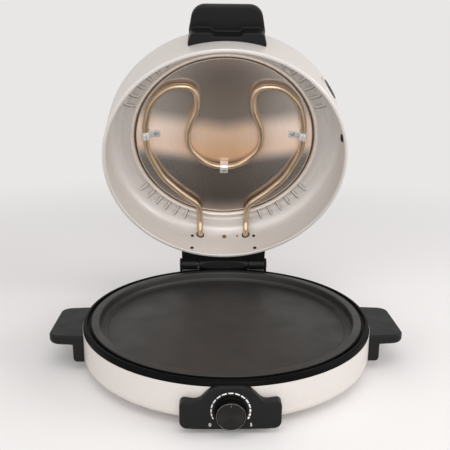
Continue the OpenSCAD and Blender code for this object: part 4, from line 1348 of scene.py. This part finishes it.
# A pad pressed up in the skirt, with fine ribs over the dark hole behind it
def makeVent():
    r, pitch = skirt["ventRadius"], skirt["ventPitch"]
    pad = spin("ventPad", rounded([
        (r - 2.6, -1.6, 0.3), (r - 1.0, -1.6, 0.4), (r - 1.0, -0.9, 0.2), (r + 2, -1.0, 0.2),
        (r + 2, 0.4, 0.6), (r - 1.6, 1.0, 0.8), (r - 2.4, 0.4, 0.5)], step=20), "enamel",
        segments=64)
    plate = spin("ventHole", rounded([(0, -1.7), (r - 2.5, -1.7, 0.1), (r - 2.5, 0.1, 0.1),
                                      (0, 0.2)]), "dark", segments=64)
    ribs = []
    for k in range(-5, 6):
        reach = sqrt((r - 2.6) ** 2 - (k * pitch) ** 2)
        bar = prism("rib", rounded([(-reach, -0.6, 0.5), (reach, -0.6, 0.5), (reach, 0.6, 0.5),
                                    (-reach, 0.6, 0.5)]), 0.1, 1.0, "darkSheath")
        ribs.append(place(bar, shift(y=k * pitch)))
    bars = joinShapes(*ribs)
    bars.name = "ventRibs"
    for piece, slotName, nodes in ((pad, "silver_paint", ("vent_bezel",)),
                                   (plate, "black_plastic", ("vent_disc",)),
                                   (bars, "black_plastic", ())):
        seat(place(piece, onSkirt(skirt["ventTurn"], skirt["ventHeight"])), "lid", slotName, *nodes)


makeHoles()
makeRivets()
makePlug()
makeVent()
print("element, clips and lid fittings made")


for node, name, body in (("hinge_housing", "hingeHousing", "lid"),
                         ("rear_housing", "rearHousing", "base")):
    seat(moulded(copyOf(node, name, "plastic"), relax=3, share=0.4), body, "black_plastic", node)


foot = dict(radius=12.0, circle=125.0, recess=4.2, bore=1.7, floor=3.0)  # mm


def makeFeet():
    table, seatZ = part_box("feet")[0].z / mm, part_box("feet")[1].z / mm
    item = spin("feetPads", rounded([
        (foot["recess"], table, 0.4), (foot["radius"] - 1.5, table, 1),
        (foot["radius"], table + 1.6, 1), (foot["radius"], seatZ, 0.2), (foot["bore"], seatZ, 0),
        (foot["bore"], table + foot["floor"], 0), (foot["recess"], table + foot["floor"], 0.3)],
        step=20), "rubber", segments=64)
    place(item, shift(x=foot["circle"]))
    grow(item, "ring", Count=4, Start=pi / 4, Pitch=pi / 2, Material="rubber")
    seat(crease(item, 40), "base", "black_rubber", "feet")


makeFeet()

carried = dict(
    cover=["bottom_cover"],
    zinc=["bottom_screws", "panel_screws", "side_handle_screws", "foot_screws",
          "rear_housing_screws", "lid_handle_screws", "thermostat_nut", "reflector_studs",
          "thermal_cutout", "thermostat"],
    pin=["hinge_pin", "thermostat_shaft"],
    shield=["heat_shield"],
    darkSheath=["lower_element"],
    strip=["lower_clips"],
    steatite=["lower_bushes", "terminal_block"],
    brass=["lower_terminals", "terminal_screws", "inlet_blades", "lid_terminals"],
    plastic=["power_inlet", "hinge_washers"],
)
for finishName, nodes in carried.items():
    for node in nodes:
        paint(cad[node], finishName)
print("carried-over parts painted")


stage = dict(
    floor=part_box("feet")[0].z,
    backdrop="#e9e7e6",
    floorColour="#efeceb",
    worldLight=0.61,
    reach=4000.0,  # mm, radius of the floor
    fadeFrom=0.42,  # m from the middle
    fadeTo=1.25,
    aim=(0, 0, 0.08),  # where the lamps point
)
lamps = (
    # name, place in m, size in m, watts
    ("keyLamp", (1.4, -0.35, 0.6), 0.9, 10),
    ("fillLamp", (-1.2, -0.9, 0.6), 1.0, 4.5),
    ("topLamp", (0.0, -0.7, 1.4), 1.0, 3.5),
    ("frontLamp", (0.1, -1.7, 0.35), 1.2, 13),
)


def makeStage():
    count = 96
    ring = [(x, y, stage["floor"] / mm)
            for x, y in arcPoints(0, 0, stage["reach"], 0, 360, count)[:-1]]
    material = bpy.data.materials.new("paleFloor")
    material.use_nodes = True
    tree = material.node_tree
    tree.nodes.clear()
    coords = addNode(tree, "ShaderNodeTexCoord").outputs["Object"]
    away = addNode(tree, "ShaderNodeVectorMath", {"operation": "LENGTH"}, {0: coords})
    fade = addNode(tree, "ShaderNodeMapRange", {
        "interpolation_type": "SMOOTHSTEP", 1: stage["fadeFrom"], 2: stage["fadeTo"]},
        {0: away.outputs["Value"]})
    matt = addNode(tree, "ShaderNodeBsdfDiffuse", {"Color": linear(stage["floorColour"])})
    glow = addNode(tree, "ShaderNodeEmission", {"Color": linear(stage["backdrop"])})
    mix = addNode(tree, "ShaderNodeMixShader",
                  links={0: fade.outputs[0], 1: matt.outputs[0], 2: glow.outputs[0]})
    output = addNode(tree, "ShaderNodeOutputMaterial")
    tree.links.new(mix.outputs[0], output.inputs["Surface"])
    finish["floor"] = material
    newObject("floor", ring, [list(range(count))], "floor", smooth=False)


def makeWorld():
    world = bpy.data.worlds.new("studio")
    bpy.context.scene.world = world
    world.use_nodes = True
    tree = world.node_tree
    tree.nodes.clear()
    path = addNode(tree, "ShaderNodeLightPath")
    shown = addNode(tree, "ShaderNodeMath", {"operation": "MAXIMUM"},
                    {0: path.outputs["Is Camera Ray"], 1: path.outputs["Is Glossy Ray"]})
    seen = addNode(tree, "ShaderNodeMath", {"operation": "MAXIMUM"},
                   {0: shown.outputs[0], 1: path.outputs["Is Transmission Ray"]})
    lit = addNode(tree, "ShaderNodeBackground",
                  {"Color": (1, 1, 1, 1), "Strength": stage["worldLight"]})
    back = addNode(tree, "ShaderNodeBackground", {"Color": linear(stage["backdrop"])})
    mix = addNode(tree, "ShaderNodeMixShader",
                  links={0: seen.outputs[0], 1: lit.outputs[0], 2: back.outputs[0]})
    output = addNode(tree, "ShaderNodeOutputWorld")
    tree.links.new(mix.outputs[0], output.inputs["Surface"])


def makeLamps():
    aim = Vector(stage["aim"])
    for name, spot, size, watts in lamps:
        data = bpy.data.lights.new(name, "AREA")
        data.shape = "DISK"
        data.size = size
        data.energy = watts
        lamp = addObject(name, data)
        lamp.location = spot
        lamp.rotation_euler = (aim - Vector(spot)).to_track_quat("-Z", "Y").to_euler()


makeStage()
makeWorld()
makeLamps()
bpy.context.scene.view_settings.view_transform = "Standard"
print("stage set")
